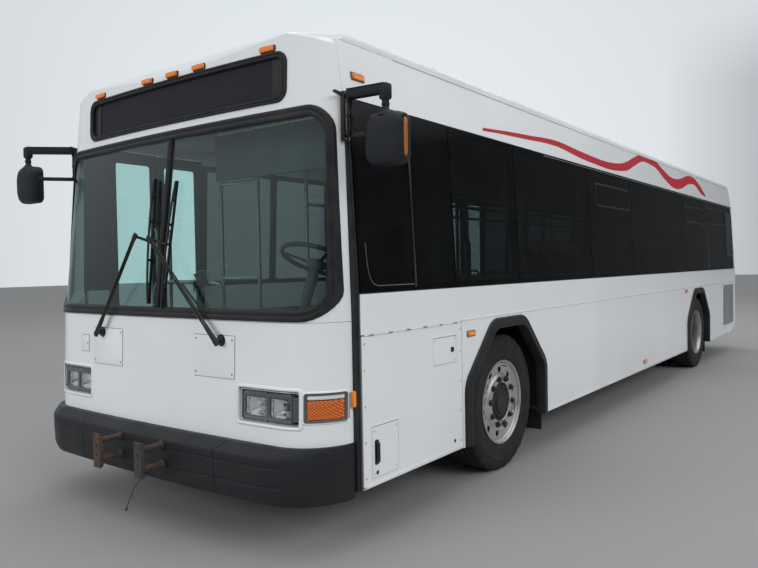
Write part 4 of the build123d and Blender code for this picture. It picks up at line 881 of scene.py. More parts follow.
lamps, lips = Piece("headlamp_units"), Piece("headlamp_surrounds")
for s, _ in SIDES:
    y0, y1, z0, z1 = 0.704, 1.108, 0.664, 0.848
    cy, cz, w, h = s * (y0 + y1) / 2, (z0 + z1) / 2, y1 - y0, z1 - z0
    # moulded white lip round the recess, and its inner walls
    a, b = pairs(rrect(cy, cz, w + 0.034, h + 0.034, 0.022, 5), rrect(cy, cz, w - 0.004, h - 0.004, 0.012, 5), 0.04)
    lips.ribbon(a, b, [(0, -0.002), (0, 0.0005), (0.25, 0.0045), (0.5, 0.0065), (0.75, 0.006), (0.95, 0.003), (1.0, -0.002), (1.0, -0.044), (0.9, -0.044)],
                F, WHITE)
    # grey bezel in two cells
    ya, yb_, yc = y0 + 0.020, y0 + 0.196, y0 + 0.354
    for c0, c1 in ((ya, yb_), (yb_, yc)):
        wy = c1 - c0
        a, b = pairs(rrect(s * (c0 + c1) / 2, cz - 0.004, wy, h - 0.030, 0.012, 5),
                     rrect(s * (c0 + c1) / 2, cz - 0.008, wy - 0.026, 0.098, 0.010, 5), 0.04)
        lamps.ribbon(a, b, [(0, -0.044), (0, -0.019), (0.1, -0.0155), (0.4, -0.0145), (0.8, -0.017), (1.0, -0.023), (1.0, -0.034), (0.8, -0.040)],
                     F, BEZEL)
        win = dense(rrect(s * (c0 + c1) / 2, cz - 0.008, wy - 0.027, 0.097, 0.010, 5), 0.03)
        c = Vector((s * (c0 + c1) / 2, cz - 0.008))
        rows = []
        for k, d in ((1.0, -0.028), (0.98, -0.036), (0.86, -0.052), (0.66, -0.066), (0.44, -0.075), (0.20, -0.080), (0.07, -0.081)):
            rows.append([F(c.x + (p.x - c.x) * k, c.y + (p.y - c.y) * k, d) for p in win])
        lamps.grid(rows, CHROME, cap1=True)
        rows = []
        for k, d in ((1.0, -0.030), (1.0, -0.0225), (0.93, -0.0195), (0.7, -0.0175), (0.4, -0.0165), (0.1, -0.016)):
            rows.append([F(c.x + (p.x - c.x) * k, c.y + (p.y - c.y) * k, d) for p in win])
        lamps.grid(rows, LAMP_GLASS, cap1=True)
        lamps.dome(F(c.x, c.y, -0.080), (1, 0, 0), 0.011, 0.030, STEEL, 12, 4)
        lamps.beam(F(c.x - 0.045, c.y + 0.035, -0.020) , F(c.x - 0.045, c.y + 0.046, -0.020), 0.008, 0.004, 0.001, BEZEL, (1, 0, 0))
    # blank ribbed end of the bezel
    c0, c1 = y0 + 0.356, y1 - 0.012
    a, b = pairs(rrect(s * (c0 + c1) / 2, cz - 0.004, c1 - c0, h - 0.030, 0.008, 4), rrect(s * (c0 + c1) / 2, cz - 0.004, c1 - c0 - 0.008, h - 0.038, 0.006, 4), 0.03)
    lamps.ribbon(a, b, [(0, -0.044), (0, -0.017), (0.5, -0.0145), (1.0, -0.016)], F, BEZEL)
    for k in range(9):
        za = z0 + 0.024 + (h - 0.056) * k / 9
        zb = za + (h - 0.056) / 9
        lamps.grid([[F(s * (c0 + 0.004 + (c1 - c0 - 0.008) * i / 3), z, o) for i in range(4)]
                    for z, o in ((za, -0.020), (za + 0.001, -0.0165), (zb - 0.004, -0.0150), (zb - 0.001, -0.0165), (zb, -0.020))], BEZEL, ring=False)
    # bright strip round the upper and outer edge
    a, b = pairs(rrect(cy, cz - 0.001, w - 0.010, h - 0.010, 0.016, 5), rrect(cy, cz - 0.001, w - 0.026, h - 0.026, 0.012, 5), 0.04)
    lamps.ribbon(a, b, [(0, -0.044), (0, -0.014), (0.3, -0.0085), (0.7, -0.0085), (1.0, -0.013), (1.0, -0.044)], F, CHROME)
    # corner lamp
    u0, u1 = run_of(1.134, 0.763), run_of(1.260, 0.763)
    a, b = pairs(rrect((u0 + u1) / 2, 0.763, u1 - u0 + 0.020, 0.150, 0.014, 5), rrect((u0 + u1) / 2, 0.763, u1 - u0 - 0.010, 0.126, 0.010, 5), 0.02)
    place = lambda u, z, o, s=s: G(s * u, z, o)
    lamps.ribbon(a, b, [(0, -0.004), (0, 0.003), (0.2, 0.0065), (0.7, 0.0055), (1.0, 0.001), (1.0, -0.02), (0.5, -0.03)], place, BEZEL)
    a, b = pairs(rrect((u0 + u1) / 2, 0.764, u1 - u0 + 0.038, 0.170, 0.020, 5), rrect((u0 + u1) / 2, 0.763, u1 - u0 + 0.018, 0.148, 0.014, 5), 0.02)
    lips.ribbon(a, b, [(0, -0.002), (0, 0.0005), (0.4, 0.0055), (0.8, 0.006), (1.0, 0.001), (1.0, -0.03), (0.6, -0.03)], place, WHITE)
    patch(lamps, u0 + 0.004, u1 - 0.004, 0.803, 0.827, 30, 6, lambda p, q: 0.005 - 0.011 * edge_drop(p, q, 0.05, 0.3), place, PEARL)
    patch(lamps, u0 + 0.004, u1 - 0.004, 0.699, 0.801, 60, 22,
          lambda p, q: 0.004 - 0.012 * edge_drop(p, q, 0.07, 0.12) + 0.0009 * math.sin(p * 60 * math.pi / 3 + q * 16), place, AMBER)
    lamps.beam((POST_X + 0.008, s * 1.281, 0.750), (POST_X + 0.008, s * 1.281, 0.836), 0.026, 0.022, 0.008, AMBER_S, (0, 1, 0))
lamps.done(slot="lamp_chrome", replaces=["headlights"], smooth=40)
lips.done(slot="white_paint", smooth=40)

# --- front bumper ----------------------------------------------------------------------------------
BUMP = [(0.272, 2.105, 1.268), (0.330, 2.142, 1.277), (0.520, 2.150, 1.279), (0.566, 2.078, 1.277)]


def bump_point(u, z, off):
    """u is the run from the middle along the plan at z."""
    xf = AX_F + lerp([(r[0], r[1]) for r in BUMP], z) + off
    ys = lerp([(r[0], r[2]) for r in BUMP], z) + off
    x0 = POST_X - 0.004
    r = 0.25
    for _ in range(20):
        yb = ys - r
        r = xf - 0.03 * yb * yb - x0
    yb = ys - r
    xb = xf - 0.03 * yb * yb
    a_, s_ = abs(u), (1 if u >= 0 else -1)
    if a_ <= 1.0:
        y = yb * a_
        return Vector((xf - 0.03 * y * y, s_ * y, z))
    t = min(a_ - 1.0, 1.0) * math.pi / 2
    return Vector((xb - r + r * math.cos(t), s_ * (yb + r * math.sin(t)), z))


def groove(z, a_):
    fade = max(0.0, min(1.0, (1.42 - a_) / 0.25))
    d = 0.0
    for zc in (0.372 + 0.004, 0.472 + 0.004):
        t = abs(z - zc) / 0.0075
        if t < 1:
            d = max(d, 0.0055 * (1 - t * t))
    return d * fade


us = sorted(set([-2 + k / 12 for k in range(13)] + [-1 + k / 30 for k in range(61)] + [1 + k / 12 for k in range(13)] +
                [s * (0.695 + d) for s in (1, -1) for d in (-0.0025, -0.0012, 0.0012, 0.0025)]))
zs = [0.272, 0.276, 0.286, 0.30, 0.316, 0.326, 0.334, 0.345, 0.360, 0.366, 0.369, 0.3725, 0.376, 0.3795, 0.383, 0.386, 0.395, 0.42, 0.45, 0.464,
      0.469, 0.4725, 0.476, 0.4795, 0.483, 0.49, 0.503, 0.513, 0.519, 0.525, 0.535, 0.548, 0.558, 0.563, 0.566]
bump = Piece("bumper_shell")
rows = []
for u in us:
    seam = 0.004 if min(abs(abs(u) - 0.695 + d) for d in (-0.0012, 0.0012)) < 1e-6 else 0.0
    row = []
    for z in zs:
        off = -groove(z, abs(u)) - seam
        off -= 0.0035 if z in (0.272, 0.566) else 0.0
        if 0.503 < z < 0.535:
            off -= 0.0045 * (1 - abs(z - 0.520) / 0.017) ** 2 if abs(z - 0.520) < 0.017 else 0
        if 0.316 < z < 0.345 and abs(z - 0.330) < 0.016:
            off -= 0.003 * (1 - abs(z - 0.330) / 0.016) ** 2
        row.append(bump_point(u, z, off))
    row.append(bump_point(u, 0.562, -0.055))
    row.append(bump_point(u, 0.548, -0.055))
    row += [bump_point(u, z, -0.018) for z in (0.52, 0.40, 0.33, 0.29)]
    rows.append(row)
bump.grid(rows, BUMPER, ring=True, cap0=True, cap1=True)
d0 = (Vector((0, 0.024, 0.028))).normalized()
w0 = Vector((5.285, -0.006, 0.282))
bump.tube([w0, w0 + d0 * 0.004, w0 + d0 * 0.012, w0 + d0 * 0.030], 0.008, RUBBER, 14, radii=[0.0055, 0.0078, 0.008, 0.008])
bump.done(slot="bumper_plastic", replaces=["front_bumper"], smooth=50)

rack = Piece("rack_fittings")
for y in (-0.200, 0.200):
    for z in (0.492, 0.382):
        c = Vector((AX_F + 2.147, y, z))
        rack.tube([c + Vector((dx, 0, 0)) for dx in (-0.012, -0.002, 0.004, 0.010)], 0.02, RUSTY, 20, radii=[0.027, 0.026, 0.022, 0.0175])
        c = Vector((AX_F + 2.290, y, z))
        rack.tube([c + Vector((dx, 0, 0)) for dx in (0.001, -0.003, -0.008, -0.012)], 0.02, RUSTY, 20, radii=[0.024, 0.0225, 0.0195, 0.0172])
    for e_ in (-1, 1):
        rack.beam((AX_F + 2.284, y + e_ * 0.0300, 0.342), (AX_F + 2.284, y + e_ * 0.0300, 0.530), 0.016, 0.004, 0.0015, RUSTY, (0, 1, 0))
    for dy, z in ((-0.017, 0.517), (0.017, 0.512), (0.016, 0.357)):
        rack.hexnut((AX_F + 2.2995, y + dy, z), (1, 0, 0), 0.0075, 0.004, RUSTY)
rack.done(slot="rusty_steel", smooth=40)


# --- cord that hangs below the front bumper --------------------------------------------
WIRE = [(-6, 282), (-30, 254), (-62, 226), (-97, 198), (-118, 165), (-138, 128), (-160, 92), (-178, 60)]
WIRE_MAT = plastic("wire_black", (0.014, 0.014, 0.015), (0.08, 0.075, 0.07), 0.4, 600, 0.2, 0.3)
cu = bpy.data.curves.new("front_cord", "CURVE")
cu.dimensions = "3D"
sp = cu.splines.new("NURBS")
sp.points.add(len(WIRE) - 1)
for p, (y, z) in zip(sp.points, WIRE):
    p.co = (5.285, y / 1000, z / 1000, 1)
sp.order_u = 3
sp.use_endpoint_u = True
sp.resolution_u = 10
cu.bevel_depth = 0.0025
cu.bevel_resolution = 3
cu.use_fill_caps = True
cu.materials.append(WIRE_MAT)
wire = bpy.data.objects.new("front_cord", cu)
bpy.context.scene.collection.objects.link(wire)
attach(wire, "body")
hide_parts("hanging_wire")
plug = Piece("cord_plug")
w1 = Vector((5.285, -0.178, 0.060))
d1 = Vector((0, -18, -32)).normalized()
plug.tube([w1 + d1 * t for t in (0.0, 0.0015, 0.004, 0.0045, 0.0065, 0.007, 0.009, 0.0095, 0.012, 0.0125, 0.0245, 0.026)], 0.006, WIRE_MAT, 16,
          radii=[0.0034, 0.0042, 0.0042, 0.0036, 0.0046, 0.0038, 0.0050, 0.0042, 0.0056, 0.0060, 0.0060, 0.0054])
for k in range(2):
    q = w1 + d1 * 0.0255 + Vector((0.0022 * (2 * k - 1), 0, 0))
    plug.tube([q - d1 * 0.002, q + d1 * 0.0004], 0.0012, BRASS, 8)
plug = plug.done(slot="wire_black", replaces=["wire_connector"], smooth=40)

# --- amber lamps ----------------------------------------------------------------------------
cl = Piece("marker_lamps")
for y in (-0.795, -0.247, 0.0, 0.247, 0.795):
    a = dense(rrect(y, 2.655, 0.110, 0.036, 0.010, 4), 0.03)
    cl.plate(a, F, 0.0005, 0.0045, SATIN, 0.001)
    a = dense(rrect(y, 2.655, 0.096, 0.029, 0.009, 4), 0.02)
    cl.plate(a, F, 0.0030, 0.0215, AMBER_S, 0.005, steps=4)
for s, _ in SIDES:
    for x, z, hl, hh in ((0.547, 1.027, 0.050, 0.016), (-3.280 if s == 1 else -2.900, 0.386, 0.050, 0.016),
                         (-5.112, 1.080, 0.042, 0.016), (1.606, 2.476, 0.052, 0.018)):
        cl.plate(dense(rrect(AX_F + x, z, 2 * hl + 0.012, 2 * hh + 0.010, 0.010, 5), 0.03), S(s), 0.0002, 0.0045, BEZEL, 0.0015)
        cl.plate(dense(rrect(AX_F + x, z, 2 * hl - 0.004, 2 * hh - 0.004, 0.010, 5), 0.02), S(s), 0.003, 0.0155, AMBER_S, 0.006, steps=4)
        for k in range(7):
            xx = AX_F + x + (k - 3) * hl * 0.25
            cl.beam(S(s)(xx, z - hh * 0.62, 0.0150), S(s)(xx, z + hh * 0.62, 0.0150), 0.003, 0.0016, 0.0005, AMBER_S, (0, 1, 0))
cl.done(slot="amber_lens", replaces=["amber_lamps"], smooth=45)

# --- mirrors ------------------------------------------------------------------------------------
mir, mlens, mgl = Piece("mirror_arms"), Piece("mirror_markers"), Piece("mirror_faces")
for s, hx in ((1, 1.730), (-1, 1.985)):
    x, bx_ = AX_F + hx, AX_F + 1.750
    P = lambda px, py, pz, s=s: Vector((px, s * py, pz))
    # hinge plate on the corner, channel and pins
    mir.beam(P(bx_, 1.257, 2.114), P(bx_, 1.257, 2.370), 0.046, 0.026, 0.004, SATIN, (0, 1, 0))
    mir.beam(P(bx_, 1.252, 2.350), P(bx_ + 0.066, 1.238, 2.368), 0.040, 0.012, 0.004, SATIN, (0, 0, 1), 0.022, 0.010)
    for dx in (-0.013, 0.013):
        mir.beam(P(bx_ + dx, 1.279, 2.150), P(bx_ + dx, 1.279, 2.330), 0.004, 0.018, 0.001, ALU_DULL, (0, 1, 0))
        mir.tube([P(bx_ + dx * 1.15, 1.288, z) for z in (2.138, 2.141, 2.331, 2.334)], 0.007, SATIN, 12, radii=[0.005, 0.007, 0.007, 0.005])
        for z in (2.160, 2.240, 2.318):
            mir.tube([P(bx_ + dx * 1.15, 1.288, z + d) for d in (-0.009, -0.007, 0.007, 0.009)], 0.01, SATIN, 12, radii=[0.0075, 0.0098, 0.0098, 0.0075])
    mir.beam(P(bx_, 1.272, 2.156), P(bx_, 1.272, 2.324), 0.030, 0.004, 0.001, ALU_DULL, (0, 1, 0))
    for z in (2.128, 2.356):
        for dx in (-0.014, 0.014):
            mir.hexnut(P(bx_ + dx, 1.270, z), (0, s, 0), 0.005, 0.004, STEEL)
    # box arm with its lip, then the turned-down end
    a, b = P(bx_, 1.276, 2.352), P(x, 1.505, 2.352)
    mir.beam(a, b, 0.046, 0.046, 0.008, MIRROR)
    d = (b - a).normalized()
    mir.beam(a + d * 0.006 + Vector((0, 0, 0.0225)), b + Vector((0, 0, 0.0225)), 0.050, 0.004, 0.0015, MIRROR)
    mir.beam(a + d * 0.006 - Vector((0, 0, 0.0225)), b - Vector((0, 0, 0.0225)), 0.050, 0.004, 0.0015, MIRROR)
    e_ = P(x, 1.500, 2.352)
    mir.beam(e_ + Vector((0, 0, 0.024)), e_ - Vector((0, 0, 0.058)), 0.054, 0.050, 0.012, MIRROR, (1, 0, 0))
    mir.tube([e_ + Vector((0, 0, z)) for z in (-0.050, -0.062, -0.075, -0.100, -0.112, -0.122, -0.135)],
             0.02, MIRROR, 22, radii=[0.021, 0.0185, 0.0175, 0.0185, 0.026, 0.036, 0.042])
    mir.hexnut(e_ + Vector((0, 0, 0.0235)), (0, 0, 1), 0.010, 0.004, SATIN)
    mir.tube([e_ + Vector((0, 0, z)) for z in (-0.088, -0.086, -0.074, -0.072)], 0.026, MIRROR, 18, radii=[0.0180, 0.0205, 0.0205, 0.0180])
    mir.hexnut(e_ + Vector((0.0190, 0, -0.080)), (1, 0, 0), 0.006, 0.006, SATIN)
    # lower stay behind the head
    mir.beam(P(bx_ - 0.004, 1.280, 2.146), P(x - (0.030 if s == 1 else 0.0), 1.400, 2.140), 0.020, 0.026, 0.005, SATIN)
    # cable loop from a grommet
    g = P(bx_ - 0.060, y_side(2.235), 2.235)
    mir.dome(g, (0, s, 0), 0.011, 0.006, RUBBER, 14, 3)
    mir.tube(smooth_line([g, g + Vector((0.006, s * 0.020, -0.004)), g + Vector((0.022, s * 0.030, 0.030)), P(bx_ - 0.018, 1.292, 2.316),
                          P(bx_ - 0.004, 1.286, 2.334)], 6), 0.0035, WIRE_MAT, 8)
    # head: moulded shell, glass and rim
    c = P(x, 1.500, 2.102)
    rows = []
    for dx, w, h, r in ((-0.0435, 0.196, 0.226, 0.030), (-0.052, 0.200, 0.230, 0.032), (-0.052, 0.216, 0.246, 0.040), (-0.047, 0.226, 0.256, 0.046),
                        (-0.030, 0.230, 0.260, 0.050), (0.000, 0.230, 0.260, 0.054), (0.018, 0.226, 0.254, 0.060), (0.032, 0.212, 0.238, 0.066),
                        (0.042, 0.184, 0.208, 0.068), (0.049, 0.140, 0.160, 0.060), (0.052, 0.070, 0.080, 0.030)):
        rows.append([c + Vector((dx, p.x, p.y)) for p in rrect(0, 0, w, h, r, 7)])
    mir.grid(rows, MIRROR, cap1=True)
    rows = []
    for dx, w, h in ((-0.040, 0.198, 0.228), (-0.0455, 0.194, 0.224), (-0.0462, 0.15, 0.18), (-0.0466, 0.06, 0.08)):
        rows.append([c + Vector((dx, p.x, p.y)) for p in rrect(0, 0, w, h, 0.030, 7)])
    mgl.grid(rows, GLOSS_MIRROR, cap1=True)
    # ribs across the shell and screws
    for z in (2.026, 2.178):
        mir.tube(smooth_line([P(x + dx, 1.500 + y, z) for dx, y in ((-0.020, 0.1155), (0.012, 0.1145), (0.034, 0.090), (0.044, 0.04), (0.0455, 0))], 4), 0.0022, MIRROR, 6)
    # marker strip on the outer edge between two small posts
    rows = []
    for z in [1.990 + 0.0 + 0.020 + 0.185 * k / 12 for k in range(13)]:
        k = min((z - 2.010), (2.195 - z)) / 0.012
        w = 1.0 if k >= 1 else 0.55 + 0.45 * math.sqrt(max(0, 1 - (1 - k) ** 2))
        rows.append([P(x + w * 0.0135 * math.sin(t) - 0.002, 1.611 + w * 0.0135 * math.cos(t), z) for t in [math.pi * q / 8 for q in range(16)]])
    mlens.grid(rows, AMBER_D, cap0=True, cap1=True)
    for k in range(9):
        z = 2.024 + 0.157 * k / 8
        mlens.tube([P(x + 0.0133 * math.sin(t) - 0.002, 1.611 + 0.0133 * math.cos(t), z) for t in (-1.1, -0.6, 0, 0.6, 1.1)], 0.0016, AMBER_D, 5)
    for z0, z1 in ((1.992, 2.010), (2.195, 2.213)):
        mir.beam(P(x - 0.002, 1.611, z0), P(x - 0.002, 1.611, z1), 0.026, 0.020, 0.005, SATIN, (0, 1, 0))
mir.done(slot="mirror_black", replaces=["mirrors"], smooth=40)
mlens.done(slot="amber_lens", smooth=45)
mgl.done(slot="mirror_black", smooth=45)

# --- wipers -----------------------------------------------------------------------------------------
wip = Piece("wiper_arms")
for py, el, q0, q1 in ((-0.569, (2.052, -0.136, 1.680), (-0.070, 1.275), (-0.110, 2.030)),
                       (0.569, (2.036, -0.020, 1.664), (0.066, 1.250), (0.105, 2.000))):
    p = Vector((AX_F + 2.052, py, 1.086))
    e_ = Vector((AX_F + el[0], el[1], el[2]))
    d = (e_ - p).normalized()
    n_ = Vector((1, 0, 0)).cross(d).normalized()
    out = d.cross(n_)
    if out.x < 0:
        out = -out
    # spindle with its cap, and the spring cover of the arm
    base = F(py, 1.086, 0.0)
    wip.tube([base + Vector((t, 0, 0)) for t in (-0.01, 0.0, 0.004, 0.006, 0.018, 0.022, p.x - base.x - 0.002, p.x - base.x + 0.004, p.x - base.x + 0.010)],
             0.02, SATIN, 20, radii=[0.034, 0.034, 0.033, 0.024, 0.022, 0.014, 0.014, 0.012, 0.008])
    wip.beam(p - d * 0.028, p + d * 0.118, 0.032, 0.022, 0.007, SATIN, out, 0.026, 0.018)
    wip.dome(p + out * 0.011 - d * 0.004, out, 0.012, 0.005, SATIN, 14, 3)
    wip.dome(p + out * 0.009 + d * 0.100, out, 0.005, 0.003, SATIN, 10, 2)
    for k in (-1, 1):
        wip.tube([p + d * 0.100 + n_ * 0.0085 * k, e_ + n_ * 0.0085 * k], 0.0058, SATIN, 10)
    m_ = (p + e_) / 2
    for t in (0.42, 0.78):
        c = p + (e_ - p) * t
        wip.beam(c - n_ * 0.014, c + n_ * 0.014, 0.012, 0.010, 0.003, SATIN, out)
    # knuckle at the elbow
    wip.beam(e_ - d * 0.030, e_ + d * 0.020, 0.030, 0.018, 0.007, SATIN, out)
    wip.dome(e_ + out * 0.008, out, 0.009, 0.005, SATIN, 12, 3)
    # blade: rubber lip on the pane, frame of bows above it
    N = 26
    pts = [(q0[0] + (q1[0] - q0[0]) * k / N, q0[1] + (q1[1] - q0[1]) * k / N) for k in range(N + 1)]
    rows = []
    for y, z in pts:
        rows.append([F(y + w, z, h) for w, h in ((-0.0014, -0.0030), (-0.0024, 0.004), (-0.0065, 0.008), (-0.0065, 0.0125), (0.0065, 0.0125),
                                                 (0.0065, 0.008), (0.0024, 0.004), (0.0014, -0.0030))])
    wip.grid(rows, RUBBER, cap0=True, cap1=True)
    bow = []
    for k, (y, z) in enumerate(pts):
        t = abs(k / N - 0.5) * 2
        h = 0.0355 - 0.017 * t ** 2.4
        bow.append([F(y + w, z, h + g) for w, g in ((-0.0080, -0.004), (-0.0080, 0.002), (-0.0045, 0.0044), (0.0045, 0.0044), (0.0080, 0.002), (0.0080, -0.004))])
    wip.grid(bow, SATIN, cap0=True, cap1=True)
    for t in (0.02, 0.17, 0.33, 0.5, 0.67, 0.83, 0.98):
        k = int(round(t * N))
        y, z = pts[k]
        h = 0.0355 - 0.017 * (abs(t - 0.5) * 2) ** 2.4
        wip.beam(F(y, z - 0.007, (0.011 + h) / 2), F(y, z + 0.007, (0.011 + h) / 2), 0.0135, h - 0.006, 0.002, SATIN, (1, 0, 0))
    mid = F((q0[0] + q1[0]) / 2, (q0[1] + q1[1]) / 2, 0.034)
    wip.beam(e_, mid + Vector((0.006, 0, 0)), 0.016, 0.010, 0.003, SATIN, (1, 0, 0))
    wip.dome(mid + Vector((0.008, 0, 0)), (1, 0, 0), 0.010, 0.007, SATIN, 12, 3)
    # washer hose along the arm
    wip.tube(smooth_line([p + out * 0.012 + n_ * 0.004, p + d * 0.16 + out * 0.008, m_ + out * 0.007 + n_ * 0.003, e_ - d * 0.05 + out * 0.009, e_ + out * 0.010], 7),
             0.0026, WIRE_MAT, 7)
wip.done(slot="black_rubber", replaces=["wipers"], smooth=40)

# --- side: stripe, rails, arch trims, screws ---------------------------------------------------
STRIPE = [(3.40, 2.400, .022), (3.185, 2.415, .024), (2.975, 2.428, .031), (2.62, 2.447, .036), (2.33, 2.465, .042), (2.02, 2.469, .052),
          (1.575, 2.440, .066), (1.065, 2.421, .067), (0.78, 2.420, .073), (0.47, 2.440, .078), (0.22, 2.478, .089), (-0.05, 2.553, .088),
          (-0.38, 2.632, .080), (-0.665, 2.630, .076), (-0.93, 2.613, .095), (-1.225, 2.526, .116), (-1.555, 2.458, .125), (-1.85, 2.461, .128),
          (-2.07, 2.492, .125), (-2.44, 2.564, .113), (-2.785, 2.576, .104), (-3.09, 2.494, .121), (-3.24, 2.452, .080), (-3.39, 2.410, .018)]
line = smooth_line([Vector(p) for p in STRIPE], 7)
stripe = Piece("red_stripe")
for s, _ in SIDES:
    rows = []
    for i, p in enumerate(line):
        q, r = line[max(i - 1, 0)], line[min(i + 1, len(line) - 1)]
        h = max(p.z, 0.003) / 2
        lo_, hi_ = max(p.y - h, 2.356), min(p.y + h, CANT_Z - 0.004)
        rows.append([S(s)(p.x, z, o) for z, o in ((lo_, 0.0001), (lo_, 0.0009), ((lo_ + hi_) / 2, 0.0009), (hi_, 0.0009), (hi_, 0.0001))])
    stripe.grid(rows, RED, ring=False)
stripe.done(slot="white_paint")

ARCH_IN = (0.566, 0.692, 0.224, 1.030)
ARCH_OUT = (0.639, 0.716, 0.254, 1.103)


def arch(c, a_, z0, r=0.045):
    """Open outline of a wheel opening from the skirt over the top and down again."""
    pts = [(c - a_[0], z0), (c - a_[0], a_[1]), (c - a_[2], a_[3]), (c + a_[2], a_[3]), (c + a_[0], a_[1]), (c + a_[0], z0)]
    full = round_poly(pts, [0, r, r, r, r, 0], 8)
    return full[8:-8]


trim = Piece("arch_moulding")
for s, _ in SIDES:
    for c in (AX_F, ARCH_R):
        a, b = pairs(arch(c, ARCH_OUT, 0.304, 0.190), arch(c, ARCH_IN, 0.304, 0.150), 0.06, closed=False)
        prof = [(0.0, 0.0005), (0.0, 0.008), (0.05, 0.0145), (0.16, 0.0185), (0.30, 0.0200), (0.36, 0.0178), (0.42, 0.0200), (0.60, 0.0245),
                (0.86, 0.0275), (0.97, 0.0255), (1.0, 0.019), (1.0, -0.050), (0.93, -0.050), (0.90, 0.0005)]
        trim.ribbon(a, b, prof, S(s), FLARE, closed=False)
        n = len(a)
        for k in range(2, n - 2, 3):
            p = a[k] + (b[k] - a[k]) * 0.20
            trim.dome(S(s)(p.x, p.y, 0.0185), (0, s, 0), 0.0062, 0.0024, SATIN, 10, 3)
    for x, y0, y1, z1 in ((AX_F - 0.676, 0.840, 1.235, 0.304), (AX_R - 0.578, 0.660, 1.235, 0.640)):
        rows = []
        for k in range(15):
            z = 0.150 + (z1 - 0.150) * k / 14
            rows.append([Vector((x + 0.003 * math.sin(z * 17) + (0.006 if (j < 1 or j > 24) else 0.0) * 0 + o + 0.0008 * ((j % 4) < 2) * (1 if o > 0 else 0), s * (y0 + (y1 - y0) * j / 25), z))
                         for o in (0.003,) for j in range(26)] +
                        [Vector((x + 0.003 * math.sin(z * 17) - 0.003, s * (y0 + (y1 - y0) * j / 25), z)) for j in range(25, -1, -1)])
        trim.grid(rows, FLARE, cap0=True, cap1=True)
        trim.beam((x - 0.006, s * (y0 + 0.01), z1 - 0.018), (x - 0.006, s * (y1 - 0.01), z1 - 0.018), 0.004, 0.024, 0.001, ALU_DULL, (0, 0, 1))
        for k in range(5):
            trim.hexnut((x - 0.008, s * (y0 + 0.04 + (y1 - y0 - 0.08) * k / 4), z1 - 0.018), (-1, 0, 0), 0.006, 0.004, NUT)
trim.done(slot="black_rubber", replaces=["arch_trims"], smooth=42)

# --- surfaces found by a ray, for details on the carried-over nodes ---------------------
from mathutils.bvhtree import BVHTree

bpy.context.view_layer.update()
DG = bpy.context.evaluated_depsgraph_get()
TREES = {}


def hit(name, start, way):
    if name not in TREES:
        me = NODES[name].data
        TREES[name] = BVHTree.FromPolygons([v.co.copy() for v in me.vertices], [list(p.vertices) for p in me.polygons])
    return TREES[name].ray_cast(Vector(start), Vector(way), 20.0)[0]


def on_roof(x, y, off=0.0):
    p = hit("roof", (x, y, 6.0), (0, 0, -1))
    return Vector((x, y, (p.z if p else 2.85) + off))


def on_back(y, z, off=0.0):
    best = None
    for n in ("rear_cap", "engine_door", "rear_bumper"):
        p = hit(n, (-9.0, y, z), (1, 0, 0))
        if p and (best is None or p.x < best):
            best = p.x
    return Vector(((best if best is not None else REAR_X) - off, y, z))


# --- side windows: vents, louvres, dividers, light strip ---------------------------------------
win = Piece("window_fittings")
for s, _ in SIDES:
    vents = [(0.28, 1.26, 2.000, 2.215), (-3.22, -2.09, 1.984, 2.200), (-4.56, -3.415, 2.010, 2.250)]
    if s == -1:
        vents = [(0.06, 1.34, 2.000, 2.215), (-3.20, -2.08, 1.984, 2.200), (-4.52, -3.38, 2.010, 2.250)]
    for x0, x1, z0, z1 in vents:
        w, h, cx, cz = x1 - x0, z1 - z0, (x0 + x1) / 2, (z0 + z1) / 2
        a, b = pairs(rrect(cx, cz, w, h, 0.040, 6), rrect(cx, cz, w - 0.034, h - 0.034, 0.026, 6), 0.09)
        win.ribbon(a, b, [(0, -0.0005), (0.02, 0.0022), (0.2, 0.0034), (0.45, 0.0034), (0.52, 0.0014), (0.6, 0.0014), (0.68, 0.0030), (0.95, 0.0026), (1, -0.0005)], S(s), FRAME)
        win.beam(S(s)(cx - 0.045, z0 + 0.020, 0.004), S(s)(cx + 0.045, z0 + 0.020, 0.004), 0.012, 0.006, 0.002, SATIN, (0, s, 0))
    for x in ((-3.318,) if s == 1 else ()):
        win.plate(dense(rrect(x, 1.84, 0.034, 0.985, 0.004, 2), 0.2), S(s), -0.0008, 0.0012, FRAME, 0.0006)
    runs = ((-5.20, 2.40),) if s == 1 else ((0.00, 2.30), (-5.20, -1.20))
    for x0, x1 in runs:
        win.plate(dense(rrect((x0 + x1) / 2, 2.3335, x1 - x0, 0.0055, 0.002, 2), 0.3), S(s), 0.0, 0.0022, ALU_DULL, 0.001)
    # dark vent louvres at the rear end of the band
    x0, x1, z0, z1 = -5.165, -4.640, 1.545, 2.245
    a, b = pairs(rrect((x0 + x1) / 2, (z0 + z1) / 2, x1 - x0, z1 - z0, 0.030, 5), rrect((x0 + x1) / 2, (z0 + z1) / 2, x1 - x0 - 0.044, z1 - z0 - 0.044, 0.016, 5), 0.15)
    win.ribbon(a, b, [(0, -0.001), (0.03, 0.003), (0.3, 0.0048), (0.9, 0.0040), (1, 0.0005), (1, -0.004)], S(s), SATIN)
    n = 24
    for k in range(n):
        z = z0 + 0.036 + (z1 - z0 - 0.072) * k / (n - 1)
        rows = [[S(s)(x, z + dz, o) for dz, o in ((-0.009, 0.0062), (-0.008, 0.0070), (0.008, 0.0018), (0.009, 0.0008), (-0.008, 0.0048))] for x in (x0 + 0.020, x0 + 0.18, x0 + 0.34, x1 - 0.020)]
        win.grid(rows, SATIN, cap0=True, cap1=True)
